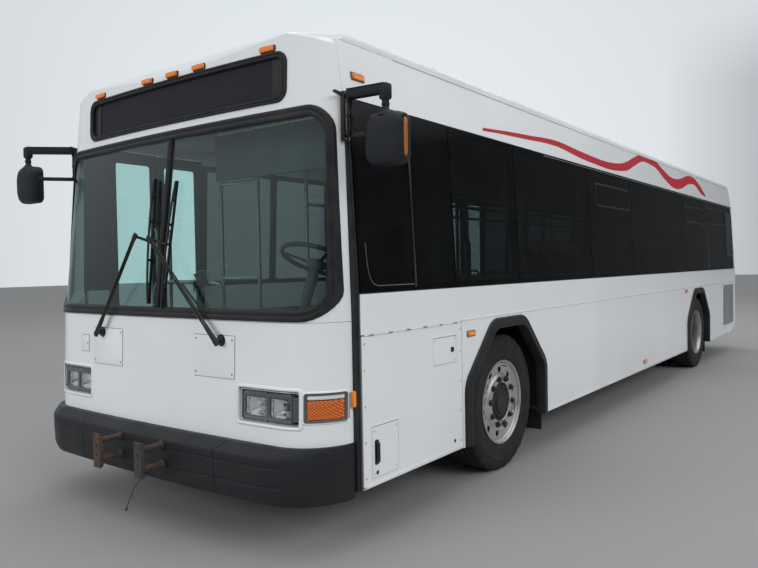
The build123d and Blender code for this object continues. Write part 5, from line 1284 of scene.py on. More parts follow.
# light frame line at the front lower corner of the driver's pane
for s in (1,):
    pts = [(4.796, 1.60), (4.789, 1.509), (4.778, 1.440), (4.750, 1.391), (4.715, 1.374), (4.679, 1.370), (4.52, 1.3695), (4.355, 1.369)]
    win.tube([S(s)(x, z, 0.0004) for x, z in smooth_line(pts, 4)], 0.0028, BEZEL, 8)
    win.beam(S(s)(4.338, 1.352, 0.0012), S(s)(4.338, 2.32, 0.0012), 0.020, 0.005, 0.002, FRAME, (0, s, 0))
win.done(slot="window_frame", smooth=40)

# --- skirt: edge strips, rivets, flaps ------------------------------------------------------------
skirt = Piece("side_fittings")
kick = lambda x: max(0.0, -4.7225 - x) * 0.109 / 0.790     # rise of the lower edge behind the rear wheels
for s, _ in SIDES:
    edge_runs = [(2.500, -1.980)] if s == 1 else [(2.500, -0.050), (-1.150, -1.980)]
    for x1, x0 in edge_runs + [(-3.300, -4.7225), (-4.7225, -5.170)]:
        edge = dense(rrect((x0 + x1) / 2, 0.3145, x1 - x0, 0.022, 0.003, 2), 0.35)
        skirt.plate([Vector((q.x, q.y + kick(q.x))) for q in edge], S(s), 0.0002, 0.0042, SKIRT, 0.0015)
    seams = [2.511, -1.749, -5.173] if s == 1 else [2.511, -0.065, -1.175, -1.749, -5.173]
    spans = [(-1.745, 2.505), (-5.168, -1.753)] if s == 1 else [(-0.060, 2.505), (-1.745, -1.180), (-5.168, -1.753)]
    arch_gap = lambda x: abs(x - AX_F) < 0.69 or abs(x - ARCH_R) < 0.69
    for x0, x1 in spans:
        for xx in (x0 + 0.020, x1 - 0.020):
            for k in range(8):
                z = 0.350 + 0.745 * k / 7
                if arch_gap(xx) or z < 0.312 + kick(xx) or (s == 1 and -4.27 < xx - 0.02 < -4.2):
                    continue
                skirt.dome(S(s)(xx, z, 0.0), (0, s, 0), 0.0060, 0.0024, ALU_DULL, 10, 3)
        m_ = int((x1 - x0) / 0.20)
        for k in range(1, m_):
            xx = x0 + (x1 - x0) * k / m_
            if arch_gap(xx):
                continue
            skirt.dome(S(s)(xx, 1.100, 0.0), (0, s, 0), 0.0052, 0.0020, SKIRT, 9, 3)
            skirt.dome(S(s)(xx, 0.340 + kick(xx), 0.0), (0, s, 0), 0.0052, 0.0020, SKIRT, 9, 3)
    # rub strip along the seam under the belt, and drip rail under the roof
    for x0, x1 in (((-5.15, 3.80),) if s == 1 else ((-0.05, 3.80), (-5.15, -1.18))):
        skirt.plate(dense(rrect((x0 + x1) / 2, 1.122, x1 - x0, 0.012, 0.004, 2), 0.4), S(s), 0.0, 0.0028, SKIRT, 0.0015)
    rail = [S(s)(x, CANT_Z + 0.0005, 0.003) for x in [-5.10 + k * 0.5 for k in range(20)] if x < 4.75]
    skirt.tube(rail, 0.0045, WHITE, 8)
    m_ = 46
    for k in range(m_ + 1):
        xx = -5.05 + 9.75 * k / m_
        skirt.dome(S(s)(xx, CANT_Z - 0.014, 0.0), (0, s, 0), 0.0040, 0.0016, WHITE, 8, 2)
    # small bracket at the front end of the skirt, tie plate
    skirt.beam(S(s)(4.846, 0.318, 0.002), S(s)(4.868, 0.318, 0.002), 0.004, 0.022, 0.001, ALU_DULL, (0, s, 0))
    # round locks
    for xx, z in ((1.9, 0.98), (0.9, 0.98), (-0.9, 0.98), (-4.05, 0.98)):
        if s == 1 or -1.2 < xx < 0:
            continue
        skirt.dome(S(s)(xx, z, 0.0), (0, s, 0), 0.013, 0.0025, ALU_DULL, 18, 3)
        skirt.beam(S(s)(xx - 0.005, z, 0.0022), S(s)(xx + 0.005, z, 0.0022), 0.003, 0.0022, 0.0006, SATIN, (0, s, 0))
# fuel flap on the kerb side
a, b = pairs(rrect(1.05, 0.86, 0.300, 0.260, 0.030, 5), rrect(1.05, 0.86, 0.286, 0.246, 0.025, 5), 0.08)
skirt.ribbon(a, b, [(0, 0.0002), (0.3, 0.0026), (0.7, 0.0024), (1, 0.0002)], S(-1), SATIN)
skirt.plate(dense(rrect(1.05, 0.86, 0.284, 0.244, 0.024, 5), 0.08), S(-1), 0.0002, 0.0032, SKIRT, 0.0015)
skirt.tube([S(-1)(1.192, z, 0.004) for z in (0.76, 0.762, 0.958, 0.96)], 0.0045, SATIN, 10)
skirt.dome(S(-1)(0.935, 0.86, 0.003), (0, -1, 0), 0.016, 0.004, ALU_DULL, 18, 3)
# panel seam of the kerb side
for s, xs in ((-1, (1.65,)),):
    for x in xs:
        skirt.plate([Vector(p) for p in ((x - 0.0016, 0.327), (x + 0.0016, 0.327), (x + 0.0016, 1.112), (x - 0.0016, 1.112))], S(s), 0.0001, 0.0007, RUBBER)
skirt.done(slot="white_paint", smooth=40)

# --- side grille at the rear, driver's side ----------------------------------------------------------
gr = Piece("side_grille")
x0, x1, z0, z1 = -5.155, -4.250, 0.430, 1.094
out_ = round_poly([(x0 - 0.010, z0 - 0.010), (x1 + 0.010, z0 - 0.010), (x1 + 0.010, z1 - 0.085), (x1 - 0.085, z1 + 0.008), (x0 - 0.010, z1 + 0.008)], 0.018, 5)
inn_ = round_poly([(x0 + 0.018, z0 + 0.018), (x1 - 0.018, z0 + 0.018), (x1 - 0.018, z1 - 0.104), (x1 - 0.100, z1 - 0.018), (x0 + 0.018, z1 - 0.018)], 0.012, 5)
a, b = pairs(out_, inn_, 0.10)
gr.ribbon(a, b, [(0, 0.0), (0.05, 0.0026), (0.5, 0.0038), (0.9, 0.0028), (1, -0.002), (1, -0.012), (0.7, -0.012)], S(1), SKIRT)
gr.plate(dense(round_poly([(x0 + 0.012, z0 + 0.012), (x1 - 0.012, z0 + 0.012), (x1 - 0.012, z1 - 0.100), (x1 - 0.098, z1 - 0.012), (x0 + 0.012, z1 - 0.012)], 0.012, 5), 0.10),
         S(1), -0.010, -0.006, GRILLE, 0.0)
for k in range(len(a)):
    if k % 2 == 0:
        p = a[k] + (b[k] - a[k]) * 0.4
        gr.dome(S(1)(p.x, p.y, 0.0034), (0, 1, 0), 0.0052, 0.002, ALU_DULL, 9, 2)
gr.done(slot="white_paint", smooth=40)

# --- service door in the front corner, with its flaps ----------------------------------------------
sd = Piece("service_door_fittings")
sx0, sx1 = AX_F + 0.669, POST_X - 0.048
sd.plate(dense(rrect((sx0 + sx1) / 2, 0.3175, sx1 - sx0 - 0.006, 0.020, 0.003, 2), 0.3), S(1), 0.0002, 0.0040, SKIRT, 0.0015)
for z in (0.36, 0.55, 0.74, 0.93, 1.07):
    for x in (sx0 + 0.022, sx1 - 0.022):
        sd.dome(S(1)(x, z, 0.0), (0, 1, 0), 0.006, 0.0024, ALU_DULL, 10, 3)
for k in range(1, 6):
    x = sx0 + (sx1 - sx0) * k / 6
    sd.dome(S(1)(x, 1.088, 0.0), (0, 1, 0), 0.0052, 0.002, SKIRT, 9, 3)
for x in (sx0 + 0.10, sx1 - 0.12):
    sd.dome(S(1)(x, 0.372, 0.0), (0, 1, 0), 0.012, 0.0028, SATIN, 16, 3)
for k in range(6):
    x = sx0 + 0.08 + (sx1 - sx0 - 0.16) * k / 5
    sd.tube([Vector((x + d, HALF_W + 0.002, 1.1125)) for d in (-0.022, -0.021, 0.021, 0.022)], 0.005, ALU_DULL, 12, radii=[0.0042, 0.0052, 0.0052, 0.0042])
for cx, cz, w, h in ((AX_F + 1.501, 0.484, 0.246, 0.278), (AX_F + 0.8735, 0.9505, 0.269, 0.167)):
    a, b = pairs(rrect(cx, cz, w + 0.020, h + 0.020, 0.008, 3), rrect(cx, cz, w, h, 0.003, 3), 0.08)
    sd.ribbon(a, b, [(0, 0.0001), (0.2, 0.0014), (0.8, 0.0014), (1, 0.0001)], S(1), SKIRT)
sd.done("service_door", slot="white_paint", smooth=40)
bf = Piece("battery_flap_fittings")
hx = AX_F + 1.582
bf.beam((hx, HALF_W + 0.010, 0.427), (hx, HALF_W + 0.010, 0.538), 0.019, 0.0205, 0.006, SATIN, (0, 1, 0))
bf.plate(dense(rrect(hx, 0.4825, 0.036, 0.134, 0.010, 4), 0.05), S(1), 0.0001, 0.003, SATIN, 0.0012)
for z in (0.372, 0.596):
    for x in (AX_F + 1.40, AX_F + 1.602):
        bf.dome(S(1)(x, z, 0.0), (0, 1, 0), 0.005, 0.002, ALU_DULL, 9, 3)
bf.done("battery_flap", slot="mirror_black", smooth=40)
ff = Piece("fuse_flap_fittings")
ff.plate(dense(rrect(AX_F + 0.7875, 0.949, 0.030, 0.030, 0.005, 3), 0.05), S(1), 0.0001, 0.0068, SATIN, 0.002)
for z in (0.884, 1.017):
    for x in (AX_F + 0.760, AX_F + 0.988):
        ff.dome(S(1)(x, z, 0.0), (0, 1, 0), 0.0045, 0.0018, ALU_DULL, 9, 3)
ff.done("fuse_flap", slot="mirror_black", smooth=40)


# --- wheels -----------------------------------------------------------------------------------------
def tyre(piece, x, y, s, seed):
    """Truck tyre: ribbed tread with zigzag grooves and notched shoulders, lines on the sidewall."""
    rnd = random.Random(seed)
    n = 192
    half = [(0.293, 0.1080), (0.2985, 0.1165), (0.3030, 0.1195), (0.3075, 0.1180), (0.3120, 0.1215), (0.3300, 0.1282), (0.3520, 0.1335), (0.3545, 0.1322),
            (0.3570, 0.1344), (0.3850, 0.1368), (0.4050, 0.1374), (0.4075, 0.1386), (0.4110, 0.1386), (0.4135, 0.1372), (0.4300, 0.1362), (0.4325, 0.1346),
            (0.4350, 0.1354), (0.4480, 0.1322), (0.4580, 0.1280), (0.4660, 0.1230), (0.4745, 0.1195), (0.4800, 0.1160), (0.4830, 0.1100), (0.4843, 0.0980),
            (0.4846, 0.0830), (0.4836, 0.0815), (0.4705, 0.0795), (0.4705, 0.0715), (0.4838, 0.0695), (0.4848, 0.0680), (0.4850, 0.0500), (0.4850, 0.0335),
            (0.4840, 0.0320), (0.4705, 0.0300), (0.4705, 0.0220), (0.4840, 0.0200), (0.4850, 0.0185)]
    prof = half + [(r, -l) for r, l in reversed(half)]
    m = len(prof)

    def wob(i, j, r, l):
        q = j if j < len(half) else m - 1 - j
        sg = 1 if j < len(half) else -1
        if 24 <= q <= 29 or 31 <= q <= 36:
            l += sg * 0.0032 * (1 if (i // 4) % 2 == 0 else -1) * (1 if q < 31 else -1)
        if 20 <= q <= 23 and (i % 6) in (0, 1):
            r -= 0.0065
        if 23 < q <= 24 and (i % 6) in (0, 1):
            r -= 0.0035
        if 30 <= q <= 31 and (i % 8) == 3:
            r -= 0.004
        return r, l
    piece.lathe(prof, (x, y, ZC), TYRE, n, s, wobble=wob)


def ring_of(piece, x, y, s, rr, n, lat, fn, a0=0.0):
    for i in range(n):
        a_ = a0 + 2 * math.pi * i / n
        fn(Vector((x + rr * math.cos(a_), s * (y + lat), ZC + rr * math.sin(a_))), a_)


def hand_holes(obj, x, y, s, face, back, turn):
    """Ten oval holes with chamfered edges, cut through the disc."""
    cutter = Piece("cutter")
    for i in range(10):
        a_ = 2 * math.pi * (i + 0.5) / 10 + turn
        er, et = Vector((math.cos(a_), 0, math.sin(a_))), Vector((-math.sin(a_), 0, math.cos(a_)))
        c = Vector((x, 0, ZC)) + er * 0.229
        rows = []
        for lat, g in ((back - 0.012, 0.0), (face - 0.0045, 0.0), (face - 0.0015, 0.0018), (face + 0.0012, 0.0046), (face + 0.010, 0.0140)):
            rows.append([c + er * ((0.0195 + g) * math.cos(2 * math.pi * q / 28)) + et * ((0.0255 + g) * math.sin(2 * math.pi * q / 28)) +
                         Vector((0, s * (y + lat), 0)) for q in range(28)])
        cutter.grid(rows, obj.data.materials[0], cap0=True, cap1=True)
    co = cutter.done("body")
    return cut(obj, co)


for side, s in (("left", 1), ("right", -1)):
    body = "front_%s_wheel" % side
    Y = 1.112
    t = Piece("front_%s_tread" % side)
    tyre(t, AX_F, s * Y, s, 5 + s)
    t.done(body, slot="tyre", replaces=["front_%s_tyre" % side], smooth=38)
    rim = Piece("front_%s_disc" % side)
    rim.lathe([(0.2995, 0.1160), (0.3012, 0.1215), (0.3000, 0.1265), (0.2960, 0.1288), (0.2910, 0.1282), (0.2868, 0.1245), (0.2845, 0.1180), (0.2828, 0.1080),
               (0.2800, 0.1005), (0.2745, 0.0962), (0.2680, 0.0948), (0.2550, 0.0945), (0.2290, 0.0946), (0.2080, 0.0950), (0.2015, 0.0962), (0.1965, 0.0995),
               (0.1935, 0.1050), (0.1905, 0.1112), (0.1860, 0.1152), (0.1800, 0.1168), (0.1675, 0.1172), (0.1480, 0.1172), (0.1400, 0.1160), (0.1365, 0.1125),
               (0.1355, 0.1060), (0.1355, 0.0780), (0.1500, 0.0775), (0.2080, 0.0772), (0.2550, 0.0770), (0.2680, 0.0720), (0.2710, 0.0520), (0.2705, -0.0200),
               (0.2725, -0.1050), (0.2800, -0.1150), (0.2900, -0.1235), (0.2985, -0.1240), (0.3010, -0.1180), (0.2950, -0.1100), (0.2900, -0.1040),
               (0.2880, -0.0500), (0.2760, -0.0300), (0.2760, 0.0300), (0.2880, 0.0500), (0.2900, 0.1060)], (AX_F, s * Y, ZC), ALU, 128, s)
    ro = rim.done(body, slot="wheel_aluminium", replaces=["front_%s_rim" % side], smooth=40)
    hand_holes(ro, AX_F, Y, s, 0.0946, 0.077, 0.10)
    hub = Piece("front_%s_hub" % side)
    hub.lathe([(0.1350, 0.0800), (0.1345, 0.0960), (0.1300, 0.1000), (0.1220, 0.1015), (0.1180, 0.1045), (0.1160, 0.1130), (0.1120, 0.1180), (0.1030, 0.1200),
               (0.0990, 0.1185), (0.0960, 0.1150), (0.0900, 0.1150), (0.0870, 0.1190), (0.0840, 0.1260), (0.0780, 0.1285), (0.0560, 0.1290), (0.0520, 0.1275),
               (0.0490, 0.1270), (0.0200, 0.1278), (0.0000, 0.1280)], (AX_F, s * Y, ZC), HUB, 72, s, closed=False)
    ring_of(hub, AX_F, Y, s, 0.1090, 8, 0.1185, lambda c, a_: hub.hexnut(c, (0, s, 0), 0.0075, 0.0055, HUB))
    ring_of(hub, AX_F, Y, s, 0.0670, 6, 0.1285, lambda c, a_: hub.hexnut(c, (0, s, 0), 0.0055, 0.0040, HUB), 0.3)
    ring_of(hub, AX_F, Y, s, 0.1675, 10, 0.1170, lambda c, a_: (
        hub.tube([c + Vector((0, s * h, 0)) for h in (0.0, 0.0010, 0.0030, 0.0036)], 0.02, NUT, 18, radii=[0.0225, 0.0235, 0.0235, 0.0200]),
        hub.hexnut(c + Vector((0, s * 0.003, 0)), (0, s, 0), 0.0168, 0.0170, NUT, 0.007)), 0.10)
    # valve stem
    a_ = 1.9
    v = Vector((AX_F + 0.262 * math.cos(a_), s * (Y + 0.094), ZC + 0.262 * math.sin(a_)))
    hub.tube([v, v + Vector((0, s * 0.012, 0)), v + Vector((-0.008 * math.cos(a_), s * 0.026, -0.008 * math.sin(a_)))], 0.0038, NUT, 8)
    hub.done(body, slot="axle_iron", smooth=40)

    # rear twins
    body = "rear_%s_wheels" % side
    t = Piece("rear_%s_treads" % side)
    for k, Y2 in enumerate((1.125, 0.795)):
        tyre(t, AX_R, s * Y2, s, 20 + k)
    t.done(body, slot="tyre", replaces=["rear_%s_tyres" % side], smooth=38)
    Y = 1.125
    rim = Piece("rear_%s_discs" % side)
    rim.lathe([(0.2995, 0.1160), (0.3012, 0.1215), (0.3000, 0.1265), (0.2960, 0.1288), (0.2910, 0.1282), (0.2868, 0.1245), (0.2845, 0.1180), (0.2815, 0.1080),
               (0.2765, 0.0960), (0.2740, 0.0700), (0.2722, 0.0000), (0.2705, -0.0700), (0.2685, -0.1060), (0.2640, -0.1270), (0.2560, -0.1375), (0.2450, -0.1410),
               (0.2290, -0.1412), (0.2060, -0.1410), (0.2000, -0.1385), (0.1960, -0.1335), (0.1900, -0.1312), (0.1675, -0.1310), (0.1450, -0.1312),
               (0.1390, -0.1330), (0.1370, -0.1380), (0.1370, -0.1640), (0.2290, -0.1645), (0.2640, -0.1620), (0.2780, -0.1300), (0.2830, -0.1240),
               (0.2985, -0.1240), (0.3010, -0.1180), (0.2950, -0.1100), (0.2900, -0.1040), (0.2880, -0.0500), (0.2790, -0.0300), (0.2790, 0.0300),
               (0.2880, 0.0500), (0.2900, 0.1060)], (AX_R, s * Y, ZC), ALU_DULL, 128, s)
    ro = rim.done(body, slot="wheel_aluminium", replaces=["rear_%s_rims" % side], smooth=40)
    hand_holes(ro, AX_R, Y, s, -0.1412, -0.1645, 0.25)
    inner = Piece("rear_%s_inner_disc" % side)
    inner.lathe([(0.2995, -0.1160), (0.3012, -0.1215), (0.2985, -0.1270), (0.2910, -0.1282), (0.2850, -0.1200), (0.2780, -0.1020), (0.2730, 0.0000),
                 (0.2690, 0.1100), (0.2560, 0.1405), (0.2000, 0.1440), (0.1370, 0.1440), (0.1370, 0.1640), (0.2500, 0.1640), (0.2700, 0.1500), (0.2850, 0.1270),
                 (0.2985, 0.1270), (0.3010, 0.1200), (0.2950, 0.1120), (0.2900, 0.1060), (0.2880, 0.0500), (0.2790, 0.0300), (0.2790, -0.0300),
                 (0.2880, -0.0500), (0.2900, -0.1060)], (AX_R, s * 0.795, ZC), ALU_DULL, 96, s)
    inner.done(body, slot="wheel_aluminium", smooth=40)
    hub = Piece("rear_%s_hub" % side)
    hub.lathe([(0.1370, -0.1500), (0.1360, -0.1340), (0.1300, -0.1280), (0.1260, -0.1180), (0.1240, -0.0300), (0.1200, -0.0220), (0.1160, -0.0200), (0.1150, 0.0360),
               (0.1180, 0.0400), (0.1180, 0.0480), (0.1120, 0.0520), (0.0980, 0.0525), (0.0940, 0.0560), (0.0900, 0.0640), (0.0760, 0.0700), (0.0520, 0.0710),
               (0.0480, 0.0760), (0.0300, 0.0820), (0.0000, 0.0830)], (AX_R, s * Y, ZC), HUB, 72, s, closed=False)
    ring_of(hub, AX_R, Y, s, 0.1060, 10, 0.0520, lambda c, a_: hub.hexnut(c, (0, s, 0), 0.0080, 0.0080, NUT, 0.004))
    ring_of(hub, AX_R, Y, s, 0.1675, 10, -0.1310, lambda c, a_: (
        hub.tube([c + Vector((0, s * h, 0)) for h in (0.0, 0.0010, 0.0030, 0.0036)], 0.02, NUT, 18, radii=[0.0225, 0.0235, 0.0235, 0.0200]),
        hub.hexnut(c + Vector((0, s * 0.003, 0)), (0, s, 0), 0.0168, 0.0190, NUT, 0.012)), 0.25)
    hub.done(body, slot="axle_iron", smooth=40)

# --- passenger doors, kerb side --------------------------------------------------------------------
def D(x, z, out=0.0):
    return Vector((x, -(1.250 + out), z))


FD, RD = (AX_F + 0.660, AX_F + 1.520), (AX_F - 4.330, AX_F - 3.230)
for dn, (xa, xb) in (("front_door", FD), ("rear_door", RD)):
    xm = (xa + xb) / 2
    for leaf, x0, x1, xh, lead in (("fore", xm + 0.005, xb - 0.001, xb + 0.0005, xm + 0.005), ("aft", xa + 0.001, xm - 0.005, xa - 0.0005, xm - 0.005)):
        body = "%s_%s" % (dn, leaf)
        p = Piece("%s_%s_frame" % (dn, leaf))
        cx, w = (x0 + x1) / 2, x1 - x0
        a, b = pairs(rrect(cx, 1.3625, w, 2.035, 0.010, 6), rrect(cx, 1.375, w - 0.092, 1.870, 0.030, 6), 0.22)
        p.ribbon(a, b, [(0, -0.0395), (0, -0.003), (0.03, -0.0006), (0.10, 0.0), (0.88, 0.0), (0.95, -0.0008), (1.0, -0.004), (1.0, -0.036), (0.95, -0.0395)], D, FRAME)
        a, b = pairs(rrect(cx, 1.375, w - 0.096, 1.866, 0.030, 6), rrect(cx, 1.375, w - 0.122, 1.840, 0.020, 6), 0.22)
        p.ribbon(a, b, [(0, -0.020), (0, -0.0015), (0.3, 0.0012), (0.6, 0.0002), (1, -0.0075), (1, -0.020)], D, RUBBER)
        # leading rubber nose and bottom brush
        sg = 1 if lead == x0 else -1
        p.beam(D(lead + sg * 0.010, 0.360, -0.0005), D(lead + sg * 0.010, 2.366, -0.0005), 0.018, 0.006, 0.0025, RUBBER, (0, -1, 0))
        p.beam(D(x0 + 0.02, 0.358, -0.010), D(x1 - 0.02, 0.358, -0.010), 0.012, 0.016, 0.003, RUBBER)
        p.tube([Vector((xh, -1.2515, z)) for z in (0.351, 0.353, 2.372, 2.374)], 0.0038, SATIN, 12, radii=[0.003, 0.0038, 0.0038, 0.003])
        # inner rail on its two stand-offs
        rx = lead + sg * 0.055
        p.tube(smooth_line([Vector((rx, -1.211, 0.80)), Vector((rx, -1.176, 0.815)), Vector((rx, -1.168, 0.90)), Vector((rx, -1.168, 1.30)),
                            Vector((rx, -1.168, 1.70)), Vector((rx, -1.176, 1.785)), Vector((rx, -1.211, 1.80))], 5), 0.0125, STEEL, 14)
        for z in (0.80, 1.80):
            p.dome(Vector((rx, -1.2105, z)), (0, 1, 0), 0.022, 0.006, STEEL, 16, 3)
        # operating arm at the top and at the bottom
        for z in (2.335, 0.385):
            q0 = Vector((cx + (xh - cx) * 0.55, -1.2105, z))
            q1 = Vector((cx + (xh - cx) * 0.90, -1.192, z))
            p.beam(q0, q1, 0.018, 0.030, 0.004, SATIN)
        p.done(body, slot="door_frame", replaces=["%s_leaf" % body], smooth=40)
        g = Piece("%s_%s_pane" % (dn, leaf))
        g.plate(dense(rrect(cx, 1.375, w - 0.100, 1.862, 0.028, 6), 0.25), D, -0.0140, -0.0082, DOOR_GLASS, 0.0)
        g.done(body, slot="clear_glass")
# door posts' sill and head rubbers on the body
p = Piece("doorway_trim")
for xa, xb in (FD, RD):
    for z, h in ((2.392, 0.010),):
        p.beam(D(xa - 0.004, z, -0.004), D(xb + 0.004, z, -0.004), 0.016, h, 0.003, RUBBER)
    p.beam(D(xa + 0.02, 0.334, -0.030), D(xb - 0.02, 0.334, -0.030), 0.060, 0.006, 0.002, ALU_DULL)
p.done(slot="black_rubber", smooth=40)

# --- rear: lamps, grilles, bumper, engine door ----------------------------------------------------------
def disc_back(piece, y, z, prof, mat, n=40):
    """Round lamp on the back: prof lists (radius, height)."""
    base = on_back(y, z).x
    rows = []
    for r, h in prof:
        rows.append([Vector((base - h, y + r * math.cos(2 * math.pi * i / n), z + r * math.sin(2 * math.pi * i / n))) for i in range(n)])
    piece.grid(rows, mat, cap0=True, cap1=True)


tl, tr_ = Piece("tail_lamp_lenses"), Piece("rear_fittings")
WHITE_LENS = lens("white_lens", (0.78, 0.78, 0.76), (0.55, 0.55, 0.54), 0.05, "cross")
for s, _ in SIDES:
    for z, mat in ((1.000, WHITE_LENS), (1.120, AMBER), (1.240, RED_LENS)):
        y = s * 1.160
        disc_back(tr_, y, z, [(0.056, -0.012), (0.056, 0.001), (0.0545, 0.0060), (0.050, 0.0080), (0.0480, 0.0075), (0.0475, -0.004)], RUBBER)
        disc_back(tl, y, z, [(0.0472, -0.004), (0.0472, 0.0085), (0.0455, 0.0120), (0.0400, 0.0150), (0.0385, 0.0142), (0.0370, 0.0155), (0.0260, 0.0185),
                             (0.0245, 0.0176), (0.0230, 0.0190), (0.0100, 0.0205), (0.002, 0.0208)], mat)
    for y, z, w, h in ((1.120, 2.560, 0.120, 0.060), (0.80, 2.575, 0.100, 0.022), (0.13, 2.600, 0.100, 0.022)):
        base = lambda u, v, o: on_back(u, v, o)
        tr_.plate(dense(rrect(s * y, z, w + 0.014, h + 0.012, 0.010, 4), 0.05), base, 0.0, 0.005, RUBBER, 0.002)
        tl.plate(dense(rrect(s * y, z, w, h, 0.008, 4), 0.04), base, 0.003, 0.018, RED_LENS, 0.006, steps=4)
    # reflectors low on the corner
    disc_back(tl, s * 1.165, 0.860, [(0.036, -0.004), (0.036, 0.004), (0.034, 0.0065), (0.030, 0.0072), (0.001, 0.0078)], RED_LENS, 32)
    disc_back(tr_, s * 1.165, 0.860, [(0.040, -0.006), (0.040, 0.003), (0.0385, 0.0048), (0.036, 0.0050), (0.036, -0.004)], CHROME, 32)
tl.plate(dense(rrect(0.0, 2.300, 0.220, 0.026, 0.008, 4), 0.05), on_back, 0.003, 0.016, RED_LENS, 0.005, steps=4)
tr_.plate(dense(rrect(0.0, 2.300, 0.236, 0.040, 0.012, 4), 0.05), on_back, 0.0, 0.005, RUBBER, 0.002)
tl.done(slot="red_lens", replaces=["tail_lamps"], smooth=40)


def louvres(piece, y0, y1, z0, z1, n, mat, frame_mat, lift=0.004, depth=0.010):
    a, b = pairs(rrect((y0 + y1) / 2, (z0 + z1) / 2, y1 - y0, z1 - z0, 0.030, 5), rrect((y0 + y1) / 2, (z0 + z1) / 2, y1 - y0 - 0.05, z1 - z0 - 0.05, 0.014, 5), 0.20)
    piece.ribbon(a, b, [(0, 0.0), (0.04, lift), (0.3, lift + 0.003), (0.9, lift + 0.002), (1, 0.0)], on_back, frame_mat)
    # black plate under the slats: painted shade standing in for the dark opening behind the louvres
    piece.plate(dense(rrect((y0 + y1) / 2, (z0 + z1) / 2, y1 - y0 - 0.046, z1 - z0 - 0.046, 0.014, 5), 0.3), on_back, 0.0002, 0.0010, SATIN)
    for k in range(n):
        z = z0 + 0.040 + (z1 - z0 - 0.080) * k / (n - 1)
        h = (z1 - z0 - 0.08) / (n - 1) * 0.48
        rows = [[on_back(y, z + dz, o) for dz, o in ((-h, depth * 0.95), (-h * 0.9, depth), (h * 0.8, 0.0025), (h * 0.85, 0.0012), (-h * 0.95, depth * 0.7))]
                for y in (y0 + 0.026, (2 * y0 + y1) / 3, (y0 + 2 * y1) / 3, y1 - 0.026)]
        piece.grid(rows, mat, cap0=True, cap1=True)


louvres(tr_, -0.76, 0.76, 1.640, 2.200, 22, SATIN, SATIN)
for s, _ in SIDES:
    for k in range(5):
        tr_.dome(on_back(s * 1.225, 1.40 + 0.25 * k, 0.0), (-1, 0, 0), 0.0055, 0.002, WHITE, 9, 2)
    tr_.beam(on_back(s * 1.090, 1.500, 0.012), on_back(s * 1.090, 1.600, 0.012), 0.040, 0.018, 0.005, SATIN, (1, 0, 0))
tr_.done(slot="window_frame", smooth=40)
ed = Piece("engine_door_fittings")
louvres(ed, -0.93, -0.12, 0.800, 1.380, 17, SKIRT, SKIRT, 0.003, 0.011)
louvres(ed, 0.12, 0.93, 0.800, 1.380, 17, SKIRT, SKIRT, 0.003, 0.011)
for s, _ in SIDES:
    y = s * 0.55
    ed.plate(dense(rrect(y, 0.735, 0.110, 0.036, 0.010, 4), 0.05), on_back, 0.0, 0.004, SATIN, 0.0015)
    ed.beam(on_back(y - 0.035, 0.735, 0.011), on_back(y + 0.035, 0.735, 0.011), 0.014, 0.014, 0.004, SATIN)
    for k in range(3):
        yy = s * (0.30 + 0.30 * k)
        ed.tube([Vector((REAR_X - 0.002, yy + d, 1.4815)) for d in (-0.040, -0.039, 0.039, 0.040)], 0.0042, SATIN, 12, radii=[0.0034, 0.0044, 0.0044, 0.0034])
        ed.plate(dense(rrect(yy, 1.462, 0.070, 0.022, 0.004, 3), 0.05), on_back, 0.0, 0.0030, SATIN, 0.001)
ed.done("engine_door", slot="white_paint", smooth=40)
rb = Piece("rear_bumper_fittings")
for z in (0.470, 0.560):
    rb.tube([on_back(y, z, 0.0015) for y in [-1.10 + 0.1 * k for k in range(23)]], 0.0045, BUMPER, 6)
for s, _ in SIDES:
    rb.plate(dense(rrect(s * 0.62, 0.535, 0.006, 0.24, 0.002, 2), 0.1), on_back, 0.0002, 0.0012, RUBBER)
    for z in (0.44, 0.63):
        rb.dome(on_back(s * 0.30, z, 0.0), (-1, 0, 0), 0.009, 0.004, SATIN, 12, 3)
rb.done(slot="bumper_plastic", smooth=40)

# --- roof -----------------------------------------------------------------------------------------------
rf = Piece("roof_fittings")
for x in [3.9, 2.7, 0.6, -0.6, -1.8, -4.2, -5.0]:
    rows = []
    ys = [-1.16 + 2.32 * k / 40 for k in range(41)]
    for y in ys:
        rows.append([on_roof(x + d, y, h) for d, h in ((-0.024, 0.0003), (-0.022, 0.0020), (0.022, 0.0020), (0.024, 0.0003))])
    rf.grid(rows, ROOF, ring=False)
    for k in range(1, 23):
        y = -1.12 + 2.24 * k / 23
        for d in (-0.013, 0.013):
            rf.dome(on_roof(x + d, y, 0.0019), (0, 0, 1), 0.0042, 0.0018, ROOF, 8, 2)
p0 = on_roof(2.2, 0.35)
rf.tube([p0 + Vector((0, 0, z)) for z in (-0.002, 0.004, 0.010, 0.0125, 0.0128)], 0.03, SATIN, 24, radii=[0.046, 0.044, 0.036, 0.022, 0.004])
rf.done(slot="white_paint", smooth=35)
for nm, hx in (("front", AX_F - 1.5), ("rear", AX_F - 6.2)):
    h = Piece("roof_hatch_%s_fittings" % nm)
    zt = 2.902
    for k in range(5):
        yy = -0.20 + 0.10 * k
        h.beam((hx - 0.22, yy, zt - 0.0012), (hx + 0.22, yy, zt - 0.0012), 0.016, 0.004, 0.0018, HATCH)
    for sx in (-1, 1):
        for sy in (-1, 1):
            h.dome((hx + sx * 0.29, sy * 0.29, zt - 0.001), (0, 0, 1), 0.008, 0.0025, SATIN, 10, 3)
    for yy in (-0.18, 0.18):
        h.tube([Vector((hx + 0.326, yy + d, 2.895)) for d in (-0.035, -0.034, 0.034, 0.035)], 0.006, SATIN, 12, radii=[0.0046, 0.0060, 0.0060, 0.0046])
    h.done("roof_hatch_%s" % nm, slot="hatch_plastic", smooth=40)


